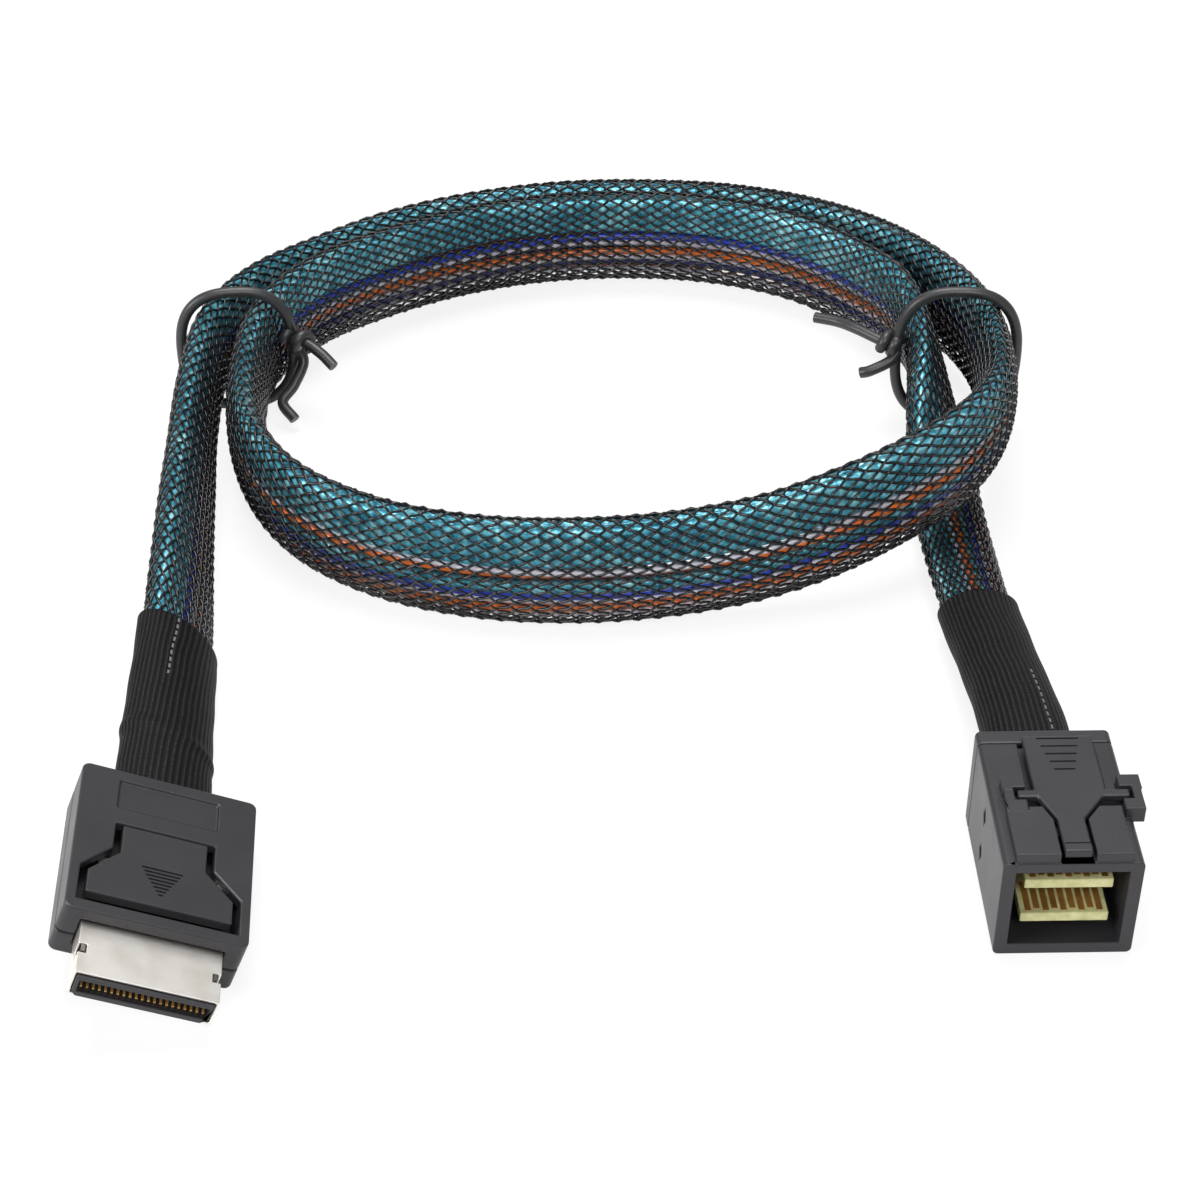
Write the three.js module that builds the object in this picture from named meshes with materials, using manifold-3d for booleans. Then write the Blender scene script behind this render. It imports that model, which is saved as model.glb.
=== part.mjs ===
// Internal server cable: a flat 42-contact plug and a tall two-card plug, joined by a braided
// flat cable that is wound one and a half turns and held with two twist ties.
// Millimetres, +Z up. Places are measured from the middle of the tall plug's front bottom edge, and
// the finished group is moved back so that the origin is the middle of that plug's underside.
import * as THREE from "three";
import { mergeVertices } from "three/addons/utils/BufferGeometryUtils.js";
import Module from "manifold-3d";

const wasm = await Module();
wasm.setup();

// Gaps between pieces
const FIT = 0.3;
const SLIM_FIT = 0.12;

// Flat plug: body, measured from its front face towards the cable
const FLAT_WIDTH = 15.4;
const FLAT_LENGTH = 17.6;
const FLAT_HEIGHT = 5.2;
const FLAT_CORNER = 0.7;
const FLAT_WALL = 0.9;
const FLAT_SEAM = -0.4;
const FLAT_MOUTH_WIDTH = 8.8;
const FLAT_MOUTH_HEIGHT = 3.2;
const FLAT_YAW = THREE.MathUtils.degToRad(3.0);
const FLAT_ROLL = THREE.MathUtils.degToRad(22.4);
const FLAT_FRONT_X = -75.6;
const FLAT_FRONT_Y = -3.3;
// Its metal shell, insulator, contacts and card
const SHELL_WIDTH = 11.8;
const SHELL_HEIGHT = 2.6;
const SHELL_REACH = 5.6;
const SHELL_TAIL = 2.2;
const SHELL_SHEET = 0.2;
const SHELL_WINDOW = 0.8;
const SHELL_WINDOW_Y = -2.9;
const SHELL_WINDOW_INSET = -0.1;
const NOSE_LIP = 0.35;
const NOSE_CHAMFER = 0.7;
const NOSE_SLOT_WIDTH = 10.6;
const NOSE_SLOT_HEIGHT = 1.2;
const NOSE_SLOT_DEPTH = 4.2;
const NOSE_SLOT_RISE = 0.1;
const CONTACT_COUNT = 21;
const CONTACT_PITCH = 0.5;
const CONTACT_WIDTH = 0.2;
const CONTACT_THICK = 0.16;
const CONTACT_GAP = 0.06;
const CONTACT_INSET = 0.5;
const CARRIER_LENGTH = 0.8;
const FLAT_CARD_WIDTH = 10.4;
const FLAT_CARD_THICK = 0.8;
const FLAT_CARD_LENGTH = 6.0;
// Its release tab
const TAB_NECK = 7.3;
const TAB_WIDE = 12.3;
const TAB_FRONT = 2.2;
const TAB_SHOULDER = 4.8;
const TAB_NECK_START = 7.6;
const TAB_HINGE = 11.0;
const TAB_THICK = 0.9;
const TAB_SLOT = 0.65;
const TAB_FRONT_SLOT = 1.0;
const TAB_HINGE_GAP = 0.15;
const GROOVE_DEPTH = 0.15;
const GROOVE_WIDTH = 0.2;
const ARROW_LINES = 8;
const ARROW_TIP = 3.4;
const ARROW_BASE = 6.7;
const ARROW_WIDTH = 3.5;
const SPRING_SHEET = 0.2;
const SPRING_ARM = 1.2;
const SPRING_ARM_X = 4.6;
// Recess for a label, left bare
const LABEL_WIDTH = 8.7;
const LABEL_LENGTH = 3.4;
const LABEL_START = 12.9;
const LABEL_DEPTH = 0.2;

// Tall plug: housing, measured from its front face
const TALL_WIDTH = 11.7;
const TALL_LENGTH = 15.2;
const TALL_HEIGHT = 10.2;
const TALL_WALL = 1.15;
const TALL_CORNER = 0.5;
const CAP_LENGTH = 1.8;
const TALL_MOUTH_WIDTH = 8.4;
const TALL_MOUTH_LOW = 2.6;
const TALL_MOUTH_HEIGHT = 5.2;
const MOUTH_TOP = 9.2;
const WINDOW_WIDTH = 1.1;
const WINDOW_HEIGHT = 2.0;
const WINDOW_SPOTS = [
  [9.2, 7.2],
  [9.2, 3.2],
];
const HOOD_HEIGHT = 1.0;
const HOOD_WIDTH = 9.6;
const HOOD_FRONT = 0.1;
const HOOD_BACK = 6.0;
const EAR_WIDTH = 1.9;
const EAR_START = 8.1;
const EAR_LENGTH = 1.7;
const EAR_OFFSET = 1.05;
const EAR_SPREAD = 4.9;
const EAR_DROP = 2.2;
const EAR_HEIGHT = 1.1;
const CHEEK_WIDTH = 1.7;
const CHEEK_LAP = 0.5;
// Its latch lever
const PAD_WIDTH = 6.0;
const PAD_OFFSET = 0.8;
const PAD_START = 9.6;
const PAD_END = 15.0;
const PAD_THICK = 0.7;
const LEVER_LIFT = 0.35;
const PAD_RECESS = 0.5;
const NECK_WIDTH = 2.3;
const NECK_OFFSET = 0.3;
const NECK_START = 4.4;
const ARM_Y = 7.6;
const ARM_WIDTH = 0.9;
const ARM_REACH = 4.7;
const PAD_GROOVES = 5;
const GROOVE_SHORTEST = 1.8;
const GROOVE_GROWTH = 0.45;
const GROOVE_SPACING = 1.0;
const LEVER_NOSE = 1.0;
const NOSE_RISE = 0.2;
// Its cards
const CARD_WIDTH = 7.4;
const CARD_THICK = 0.95;
const CARD_FRONT = 0.9;
const CARD_LENGTH = 9.5;
const CARD_TOPS = [7.6, 3.8];
const HOLDER_START = 9.0;
const HOLDER_LENGTH = 2.4;

// Flat braided cable
const SECTION_SIDES = 12;
const WIRE_SIDES = 5;
const CABLE_STEP = 1;
const MOST_TWIST = 12;
const SLEEVE_WALL_SHARE = 0.08;
const TAPE_SHEET = 0.35;
const TAPE_GAP = 0.25;
// Where each wrap starts and ends, as lengths along the cable from the nearer plug's end of it
const SLEEVE_FLAT_START = 14.81;
const SLEEVE_TALL_START = 9.94;
const FLAT_TAPE_START = 11.11;
const FLAT_TAPE_LENGTH = 22.69;
const TALL_TAPE_START = 5.52;
const TALL_TAPE_LENGTH = 26.31;
const LENGTH_SAMPLES = 5000;
// Stations along the cable's middle line: place x, y, z, then the lean of its width from upright
// in degrees, its width and its thickness
const CABLE_STATIONS = [
  [-76.0, 3.5, 5.3, -67.6, 7.6, 2.4],
  [-76.4, 10.5, 5.3, -67.6, 7.6, 2.6],
  [-76.8, 17.5, 5.3, -64, 7.6, 3.5],
  [-77.3, 26.0, 5.2, -53, 7.8, 3.7],
  [-77.7, 34.5, 5.1, -40, 8.4, 3.8],
  [-78.3, 44.0, 5.2, -26, 9.9, 4.2],
  [-79.0, 54.5, 5.5, -18, 10.6, 4.2],
  [-79.6, 65.0, 5.7, -11, 11.2, 4.2],
  [-80.0, 76.0, 6.7, -5, 11.5, 4.2],
  [-79.3, 86.0, 7.5, 0, 11.6, 4.2],
  [-75.6, 95.5, 6.8, 0, 11.6, 4.2],
  [-69.3, 103.5, 5.9, 0, 11.6, 4.2],
  [-61.0, 109.7, 5.9, 0, 11.6, 4.2],
  [-51.5, 114.0, 5.9, 0, 11.6, 4.2],
  [-41.3, 116.4, 5.9, 0, 11.6, 4.2],
  [-31.0, 116.7, 5.9, 0, 11.6, 4.2],
  [-21.2, 115.0, 6.1, 0, 11.6, 4.2],
  [-12.0, 110.8, 6.5, 0, 11.6, 4.2],
  [-4.4, 103.9, 7.2, 0, 11.6, 4.2],
  [1.0, 95.0, 8.0, 0, 11.6, 4.2],
  [3.9, 85.2, 8.9, 0, 11.8, 4.2],
  [4.3, 75.0, 9.9, 0, 12.0, 4.2],
  [2.6, 65.5, 11.0, 0, 12.2, 4.2],
  [-2.6, 57.0, 11.6, 0, 12.4, 4.2],
  [-10.8, 51.4, 10.2, 0, 12.6, 4.2],
  [-20.4, 48.4, 7.9, 0, 12.6, 4.2],
  [-30.5, 46.8, 6.7, 0, 12.6, 4.2],
  [-40.7, 46.1, 6.5, 0, 12.6, 4.2],
  [-50.8, 47.3, 6.4, 0, 12.4, 4.2],
  [-60.4, 50.9, 6.4, 0, 12.2, 4.2],
  [-68.3, 57.3, 6.4, 0, 12.0, 4.2],
  [-73.2, 66.2, 6.5, 0, 11.8, 4.2],
  [-74.8, 76.4, 7.1, 0, 11.6, 4.2],
  [-73.8, 86.5, 7.7, 0, 11.6, 4.2],
  [-69.2, 95.8, 7.5, 0, 11.6, 4.2],
  [-62.2, 102.8, 7.0, 0, 11.6, 4.2],
  [-53.1, 108.0, 7.0, 0, 11.6, 4.2],
  [-43.5, 111.0, 7.0, 0, 11.6, 4.2],
  [-33.3, 111.8, 7.0, 0, 11.6, 4.2],
  [-23.4, 110.4, 7.0, 0, 11.6, 4.2],
  [-14.5, 106.6, 6.9, 0, 11.6, 4.2],
  [-7.6, 100.5, 6.6, 0, 11.6, 4.2],
  [-3.2, 92.4, 7.2, 4, 11.4, 4.2],
  [-1.8, 82.6, 6.6, 16, 10.6, 4.2],
  [-1.7, 72.6, 4.6, 44, 9.2, 4.2],
  [-1.8, 62.8, 2.6, 74, 8.0, 4.2],
  [-1.6, 52.8, 2.4, 86, 7.4, 4.2],
  [-1.2, 43.0, 2.9, 90, 6.9, 4.2],
  [-0.6, 33.5, 3.9, 90, 6.7, 4.2],
  [-0.1, 24.0, 4.9, 90, 6.9, 4.2],
  [0.0, 11.8, 5.2, 90, 7.2, 4.2],
];
// What runs inside the sleeve: middle and half sizes as shares of the cable's half width and
// half thickness
const RIBBONS = [
  { name: "twinax_ribbon_outer", across: 0.42, through: 0.24, halfWidth: 0.28, halfThick: 0.14 },
  { name: "twinax_ribbon_inner", across: 0.42, through: -0.24, halfWidth: 0.28, halfThick: 0.14 },
];
const WIRES = [
  { name: "side_wire_white_outer", across: 0.02, through: 0.38, halfWidth: 0.08, halfThick: 0.3, colour: 0xc9c9cc },
  { name: "side_wire_orange_outer", across: -0.16, through: 0.38, halfWidth: 0.08, halfThick: 0.3, colour: 0xd2691e },
  { name: "side_pair_teal_outer", across: -0.36, through: 0.36, halfWidth: 0.1, halfThick: 0.26, colour: 0x2f8ea3 },
  { name: "side_wire_blue_outer", across: -0.55, through: 0.3, halfWidth: 0.08, halfThick: 0.2, colour: 0x27408b },
  { name: "side_wire_orange_low", across: -0.72, through: 0.19, halfWidth: 0.07, halfThick: 0.13, colour: 0xd2691e },
  { name: "side_wire_blue_inner", across: 0.02, through: -0.38, halfWidth: 0.08, halfThick: 0.3, colour: 0x27408b },
  { name: "side_wire_white_inner", across: -0.16, through: -0.38, halfWidth: 0.08, halfThick: 0.3, colour: 0xc9c9cc },
  { name: "side_wire_orange_inner", across: -0.35, through: -0.37, halfWidth: 0.09, halfThick: 0.28, colour: 0xd2691e },
  { name: "side_wire_navy_inner", across: -0.56, through: -0.3, halfWidth: 0.09, halfThick: 0.2, colour: 0x1b2550 },
];

// Twist ties
const TIE_RADIUS = 0.6;
const TIE_SIDES = 8;
const TIE_LOOP_STEPS = 12;
const TIE_END_STEPS = 7;
const TIE_SQUARENESS = 3;
// Each tie: the loop's middle, its turn about the upright, its half width and half height, and
// its two free ends as points from the middle (across, along the cable, up)
const TIES = [
  {
    name: "tie_left",
    middle: [-76.6, 86.0, 7.68],
    turn: 6,
    halfAcross: 6.0,
    halfHigh: 7.05,
    ends: [
      [[5.6, 0, 1.0], [7.4, -1.2, 0.9], [9.0, -2.6, 0.2], [10.2, -4.0, -0.6]],
      [[5.6, 0, 0.2], [7.0, -0.6, -1.6], [5.8, -2.4, -3.6], [4.4, -3.6, -5.0], [5.6, -5.2, -6.3]],
    ],
  },
  {
    name: "tie_right",
    middle: [1.15, 81.6, 8.52],
    turn: -3,
    halfAcross: 6.45,
    halfHigh: 7.9,
    ends: [
      [[-6.25, 0, 1.2], [-7.8, 0.4, 1.4], [-10.6, 2.6, 1.6], [-12.6, 4.4, 1.4], [-15.0, 5.6, 1.2]],
      [[-6.25, 0, 0.4], [-7.2, -0.8, -0.4], [-9.2, -1.4, -1.2], [-10.2, -1.2, -1.6]],
    ],
  },
];

const MATERIALS = {
  plastic: { color: 0x2b2a2d, roughness: 0.45, metalness: 0 },
  nickel: { color: 0xd8cfc4, roughness: 0.3, metalness: 1 },
  gold: { color: 0xd9a441, roughness: 0.3, metalness: 1 },
  board: { color: 0xb9b77a, roughness: 0.5, metalness: 0 },
  tape: { color: 0x1c1c1e, roughness: 0.8, metalness: 0 },
  braid: { color: 0x161618, roughness: 0.4, metalness: 0 },
  foil: { color: 0x2f8ea3, roughness: 0.3, metalness: 0.6 },
  rubber: { color: 0x18181a, roughness: 0.5, metalness: 0 },
};

// Closed solid of a geometry, its vertices merged by place.
function solid(geometry) {
  geometry.deleteAttribute("normal");
  geometry.deleteAttribute("uv");
  const merged = mergeVertices(geometry, 1e-4);
  return new wasm.Manifold(
    new wasm.Mesh({
      numProp: 3,
      vertProperties: merged.attributes.position.array,
      triVerts: new Uint32Array(merged.index.array),
    }),
  );
}

// Two edges of a width about a middle.
function around(middle, width) {
  return [middle - width / 2, middle + width / 2];
}

// Box between two corners.
function box(x0, x1, y0, y1, z0, z1) {
  const geometry = new THREE.BoxGeometry(x1 - x0, y1 - y0, z1 - z0);
  geometry.translate((x0 + x1) / 2, (y0 + y1) / 2, (z0 + z1) / 2);
  return solid(geometry);
}

// Shape from a list of corners.
function outline(points) {
  return new THREE.Shape(points.map(([x, y]) => new THREE.Vector2(x, y)));
}

// Rectangle with round corners, centred on x, from y0 to y1.
function roundRect(width, y0, y1, radius) {
  const half = width / 2;
  const shape = new THREE.Shape();
  shape.moveTo(-half + radius, y0);
  shape.lineTo(half - radius, y0);
  shape.absarc(half - radius, y0 + radius, radius, -Math.PI / 2, 0);
  shape.absarc(half - radius, y1 - radius, radius, 0, Math.PI / 2);
  shape.absarc(-half + radius, y1 - radius, radius, Math.PI / 2, Math.PI);
  shape.absarc(-half + radius, y0 + radius, radius, Math.PI, 1.5 * Math.PI);
  return shape;
}

// Plate of a plan shape, between two heights.
function plate(shape, z0, z1) {
  const geometry = new THREE.ExtrudeGeometry(shape, {
    depth: z1 - z0,
    bevelEnabled: false,
    curveSegments: 3,
  });
  geometry.translate(0, 0, z0);
  return solid(geometry);
}

// Bar of a front-view shape (x, z), between two depths.
function bar(shape, y0, y1) {
  const geometry = new THREE.ExtrudeGeometry(shape, {
    depth: y1 - y0,
    bevelEnabled: false,
    curveSegments: 3,
  });
  geometry.rotateX(Math.PI / 2);
  geometry.translate(0, y1, 0);
  return solid(geometry);
}

// Bar of a side-view shape (y, z), between two places along x.
function sideBar(shape, x0, x1) {
  const geometry = new THREE.ExtrudeGeometry(shape, {
    depth: x1 - x0,
    bevelEnabled: false,
    curveSegments: 3,
  });
  geometry.rotateY(Math.PI / 2);
  geometry.rotateX(Math.PI / 2);
  geometry.translate(x0, 0, 0);
  return solid(geometry);
}

function joined(solids) {
  return solids.reduce((whole, next) => whole.add(next));
}

function cut(body, tools) {
  return tools.reduce((whole, tool) => whole.subtract(tool), body);
}

// Named mesh of a solid.
function piece(name, body, look) {
  const { vertProperties, triVerts } = body.getMesh();
  const geometry = new THREE.BufferGeometry();
  geometry.setAttribute("position", new THREE.BufferAttribute(vertProperties, 3));
  geometry.setIndex(new THREE.BufferAttribute(triVerts, 1));
  geometry.computeVertexNormals();
  const mesh = new THREE.Mesh(geometry, new THREE.MeshStandardMaterial(look));
  mesh.name = name;
  return mesh;
}

// Plan of the release tab, grown by a slot at its sides and front.
function tabPlan(side, front, back) {
  const neck = TAB_NECK / 2 + side;
  const wide = TAB_WIDE / 2 + side;
  const shift = side / 2;
  return outline([
    [-wide, TAB_FRONT - front],
    [wide, TAB_FRONT - front],
    [wide, TAB_SHOULDER + shift],
    [neck, TAB_NECK_START + shift],
    [neck, back],
    [-neck, back],
    [-neck, TAB_NECK_START + shift],
    [-wide, TAB_SHOULDER + shift],
  ]);
}

const flatTop = FLAT_HEIGHT / 2;
const flatRoof = flatTop - FLAT_WALL;
const shellTop = SHELL_HEIGHT / 2;
const cableMouth = box(
  -FLAT_MOUTH_WIDTH / 2,
  FLAT_MOUTH_WIDTH / 2,
  FLAT_LENGTH - 2,
  FLAT_LENGTH + 1,
  -FLAT_MOUTH_HEIGHT / 2,
  FLAT_MOUTH_HEIGHT / 2,
);
const shellMouth = box(
  -SHELL_WIDTH / 2 - SLIM_FIT,
  SHELL_WIDTH / 2 + SLIM_FIT,
  -1,
  SHELL_TAIL + FIT,
  -shellTop - SLIM_FIT,
  shellTop + SLIM_FIT,
);

// Upper half of the flat plug's casing, with the tab's opening and the bare label recess.
function flatTopCover() {
  const body = plate(roundRect(FLAT_WIDTH, 0, FLAT_LENGTH, FLAT_CORNER), FLAT_SEAM + SLIM_FIT / 2, flatTop);
  const room = box(
    -FLAT_WIDTH / 2 + FLAT_WALL,
    FLAT_WIDTH / 2 - FLAT_WALL,
    FLAT_WALL,
    FLAT_LENGTH - FLAT_WALL,
    FLAT_SEAM - 1,
    flatRoof,
  );
  const opening = plate(tabPlan(TAB_SLOT, TAB_FRONT_SLOT, TAB_HINGE), flatRoof - 1, flatTop + 1);
  const label = plate(
    roundRect(LABEL_WIDTH, LABEL_START, LABEL_START + LABEL_LENGTH, LABEL_DEPTH),
    flatTop - LABEL_DEPTH,
    flatTop + 1,
  );
  return cut(body, [room, opening, label, shellMouth, cableMouth]);
}

// Lower half of the flat plug's casing.
function flatBottomCover() {
  const body = plate(roundRect(FLAT_WIDTH, 0, FLAT_LENGTH, FLAT_CORNER), -flatTop, FLAT_SEAM - SLIM_FIT / 2);
  const room = box(
    -FLAT_WIDTH / 2 + FLAT_WALL,
    FLAT_WIDTH / 2 - FLAT_WALL,
    FLAT_WALL,
    FLAT_LENGTH - FLAT_WALL,
    -flatTop + FLAT_WALL,
    FLAT_SEAM + 1,
  );
  return cut(body, [room, shellMouth, cableMouth]);
}

// Press-down tab with its arrow of grooves.
function releaseTab() {
  const body = plate(tabPlan(0, 0, TAB_HINGE - TAB_HINGE_GAP), flatTop - TAB_THICK, flatTop);
  const spacing = (ARROW_BASE - ARROW_TIP) / ARROW_LINES;
  const grooves = Array.from({ length: ARROW_LINES }, (_, i) => {
    const half = (ARROW_WIDTH / 2) * ((i + 1) / ARROW_LINES);
    const y = ARROW_TIP + spacing * (i + 0.5);
    return box(-half, half, y - GROOVE_WIDTH / 2, y + GROOVE_WIDTH / 2, flatTop - GROOVE_DEPTH, flatTop + 1);
  });
  return cut(body, grooves);
}

// Sheet spring under the tab: a cross plate and two arms that end in the latch hooks.
function latchSpring() {
  const top = flatTop - TAB_THICK - SLIM_FIT;
  const under = top - SPRING_SHEET;
  const cross = box(-SPRING_ARM_X, SPRING_ARM_X, TAB_FRONT + 0.6, TAB_FRONT + 2.2, under, top);
  const arms = [-1, 1].map((side) => {
    const middle = side * SPRING_ARM_X;
    return box(middle - SPRING_ARM / 2, middle + SPRING_ARM / 2, TAB_FRONT + 0.6, TAB_NECK_START, under, top);
  });
  return joined([cross, ...arms]);
}

// Formed sheet shell round the insulator, open at both ends, with the two latch windows.
function metalShell() {
  const half = SHELL_WIDTH / 2;
  const outer = box(-half, half, -SHELL_REACH, SHELL_TAIL, -shellTop, shellTop);
  const inner = box(
    -half + SHELL_SHEET,
    half - SHELL_SHEET,
    -SHELL_REACH - 1,
    SHELL_TAIL + 1,
    -shellTop + SHELL_SHEET,
    shellTop - SHELL_SHEET,
  );
  const windows = [-1, 1].map((side) => {
    const middle = side * (half - SHELL_WINDOW_INSET - SHELL_WINDOW / 2);
    return box(
      middle - SHELL_WINDOW / 2,
      middle + SHELL_WINDOW / 2,
      SHELL_WINDOW_Y - SHELL_WINDOW * 0.6,
      SHELL_WINDOW_Y + SHELL_WINDOW * 0.6,
      0,
      shellTop + 1,
    );
  });
  return cut(outer, [inner, ...windows]);
}

const noseHalf = SHELL_WIDTH / 2 - SHELL_SHEET - SLIM_FIT / 2;
const noseTop = shellTop - SHELL_SHEET - SLIM_FIT / 2;
const noseFront = -SHELL_REACH - NOSE_LIP;
const slotTop = NOSE_SLOT_HEIGHT / 2 + NOSE_SLOT_RISE;

// Insulator that fills the shell, with the contact slot and the two keying chamfers.
function noseInsulator() {
  const body = bar(
    outline([
      [-noseHalf, noseTop],
      [-noseHalf, -noseTop + NOSE_CHAMFER / 2],
      [-noseHalf + NOSE_CHAMFER / 2, -noseTop],
      [noseHalf - NOSE_CHAMFER, -noseTop],
      [noseHalf, -noseTop + NOSE_CHAMFER],
      [noseHalf, noseTop],
    ]),
    noseFront,
    -0.4,
  );
  const slot = box(
    -NOSE_SLOT_WIDTH / 2,
    NOSE_SLOT_WIDTH / 2,
    noseFront - 1,
    noseFront + NOSE_SLOT_DEPTH,
    slotTop - NOSE_SLOT_HEIGHT,
    slotTop,
  );
  return cut(body, [slot]);
}

// Row of contacts along the slot's floor, carried by a bar at the slot's end.
function contactRow() {
  const floor = slotTop - NOSE_SLOT_HEIGHT + CONTACT_GAP;
  const back = noseFront + NOSE_SLOT_DEPTH - SLIM_FIT;
  const blades = Array.from({ length: CONTACT_COUNT }, (_, i) => {
    const middle = (i - (CONTACT_COUNT - 1) / 2) * CONTACT_PITCH;
    return box(
      ...around(middle, CONTACT_WIDTH),
      noseFront + CONTACT_INSET,
      back,
      floor,
      floor + CONTACT_THICK,
    );
  });
  const width = CONTACT_COUNT * CONTACT_PITCH - 2 * SLIM_FIT;
  const carrier = box(
    ...around(0, width),
    back - CARRIER_LENGTH,
    back,
    floor + CONTACT_THICK / 2,
    floor + 2 * CONTACT_THICK,
  );
  return joined([carrier, ...blades]);
}

// Small board behind the insulator, which the cable's wires are soldered to.
function flatCard() {
  const half = FLAT_CARD_WIDTH / 2;
  return box(-half, half, 0, FLAT_CARD_LENGTH, -FLAT_CARD_THICK / 2, FLAT_CARD_THICK / 2);
}

// Flat plug in its own axes, standing for its two casing halves and what they hold.
function flatPlug() {
  const group = new THREE.Group();
  group.add(
    piece("oculink_top_cover", flatTopCover(), MATERIALS.plastic),
    piece("oculink_bottom_cover", flatBottomCover(), MATERIALS.plastic),
    piece("oculink_release_tab", releaseTab(), MATERIALS.plastic),
    piece("oculink_latch_spring", latchSpring(), MATERIALS.nickel),
    piece("oculink_metal_shell", metalShell(), MATERIALS.nickel),
    piece("oculink_nose_insulator", noseInsulator(), MATERIALS.plastic),
    piece("oculink_contact_row", contactRow(), MATERIALS.gold),
    piece("oculink_paddle_card", flatCard(), MATERIALS.board),
  );
  const rise = (FLAT_WIDTH / 2) * Math.sin(FLAT_ROLL) + flatTop * Math.cos(FLAT_ROLL);
  group.rotation.set(0, FLAT_ROLL, FLAT_YAW, "ZXY");
  group.position.set(FLAT_FRONT_X, FLAT_FRONT_Y, rise);
  return group;
}

const hoodTop = TALL_HEIGHT + HOOD_HEIGHT;
const tallHalf = TALL_WIDTH / 2;
const mouthHalf = tallHalf - TALL_WALL;
const padBottom = TALL_HEIGHT + LEVER_LIFT;
const padTop = padBottom + PAD_THICK;
const armHalf = ARM_WIDTH / 2;

// Plan of the latch lever: pad, taper, neck, grown all round by a gap.
function leverPlan(gap, front, back) {
  const [padLeft, padRight] = around(PAD_OFFSET, PAD_WIDTH + 2 * gap);
  const [neckLeft, neckRight] = around(NECK_OFFSET, NECK_WIDTH + 2 * gap);
  return outline([
    [neckLeft, front],
    [neckRight, front],
    [neckRight, NECK_START],
    [padRight, ARM_Y],
    [padRight, back],
    [padLeft, back],
    [padLeft, ARM_Y],
    [neckLeft, NECK_START],
  ]);
}

// Housing of the tall plug: mouth, side windows, ears and the hood with its channel.
function tallHousing() {
  const body = bar(
    roundRect(TALL_WIDTH, 0, TALL_HEIGHT, TALL_CORNER),
    0,
    TALL_LENGTH,
  );
  const mouth = box(-mouthHalf, mouthHalf, -1, TALL_LENGTH - TALL_WALL, TALL_WALL, MOUTH_TOP);
  const rearDoor = box(-mouthHalf, mouthHalf, TALL_LENGTH - 2, TALL_LENGTH + 1, TALL_WALL + 1, MOUTH_TOP - 1);
  const hood = box(-HOOD_WIDTH / 2, HOOD_WIDTH / 2, HOOD_FRONT, HOOD_BACK, TALL_HEIGHT - 0.3, hoodTop);
  const ears = [-1, 1].map((side) => {
    const [left, right] = around(EAR_OFFSET + side * EAR_SPREAD, EAR_WIDTH);
    return box(
      left,
      right,
      EAR_START,
      EAR_START + EAR_LENGTH,
      TALL_HEIGHT - EAR_DROP,
      TALL_HEIGHT + EAR_HEIGHT,
    );
  });
  const cheeks = [-1, 1].map((side) => {
    const [left, right] = around(EAR_OFFSET + side * EAR_SPREAD, CHEEK_WIDTH);
    return box(
      left,
      right,
      HOOD_BACK - CHEEK_LAP,
      EAR_START + CHEEK_LAP,
      TALL_HEIGHT - CHEEK_LAP,
      padTop,
    );
  });
  const channel = plate(leverPlan(FIT, -1, TALL_LENGTH + 1), TALL_HEIGHT, hoodTop + 1);
  const padRecess = box(
    ...around(PAD_OFFSET, PAD_WIDTH + 2 * FIT),
    ARM_Y + armHalf + FIT,
    TALL_LENGTH + 1,
    TALL_HEIGHT - PAD_RECESS,
    TALL_HEIGHT + 1,
  );
  const armSlot = box(
    ...around(EAR_OFFSET, 2 * (ARM_REACH + FIT)),
    ARM_Y - armHalf - FIT,
    ARM_Y + armHalf + FIT,
    TALL_HEIGHT,
    hoodTop + 1,
  );
  const diamonds = WINDOW_SPOTS.map(([y, z]) =>
    sideBar(
      outline([
        [y - WINDOW_WIDTH / 2, z],
        [y, z - WINDOW_HEIGHT / 2],
        [y + WINDOW_WIDTH / 2, z],
        [y, z + WINDOW_HEIGHT / 2],
      ]),
      -tallHalf - 1,
      tallHalf + 1,
    ),
  );
  const whole = joined([body, hood, ...ears, ...cheeks]);
  return cut(whole, [mouth, rearDoor, channel, padRecess, armSlot, ...diamonds]);
}

// Cap that closes the back of the tall plug round the cable.
function rearCap() {
  const body = bar(
    roundRect(TALL_WIDTH, 0, TALL_HEIGHT, TALL_CORNER),
    TALL_LENGTH + SLIM_FIT,
    TALL_LENGTH + CAP_LENGTH,
  );
  const passage = box(
    -TALL_MOUTH_WIDTH / 2,
    TALL_MOUTH_WIDTH / 2,
    TALL_LENGTH - 1,
    TALL_LENGTH + CAP_LENGTH + 1,
    TALL_MOUTH_LOW,
    TALL_MOUTH_LOW + TALL_MOUTH_HEIGHT,
  );
  return cut(body, [passage]);
}

// Lever: grooved thumb pad behind, cross arms under the ears, neck and front bar.
function latchLever() {
  const noseStart = HOOD_FRONT + NOSE_RISE;
  const top = plate(leverPlan(0, noseStart, PAD_END), padBottom, padTop);
  const arms = box(
    ...around(EAR_OFFSET, 2 * ARM_REACH),
    ...around(ARM_Y, ARM_WIDTH),
    padBottom,
    padTop,
  );
  const nose = box(
    ...around(NECK_OFFSET, NECK_WIDTH),
    noseStart,
    noseStart + LEVER_NOSE,
    padBottom,
    hoodTop + NOSE_RISE,
  );
  const grooves = Array.from({ length: PAD_GROOVES }, (_, i) =>
    box(
      ...around(PAD_OFFSET, GROOVE_SHORTEST + GROOVE_GROWTH * i),
      ...around(PAD_START + GROOVE_SPACING * (i + 1), GROOVE_WIDTH),
      padTop - GROOVE_DEPTH,
      padTop + 1,
    ),
  );
  return cut(joined([top, arms, nose]), grooves);
}

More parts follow.
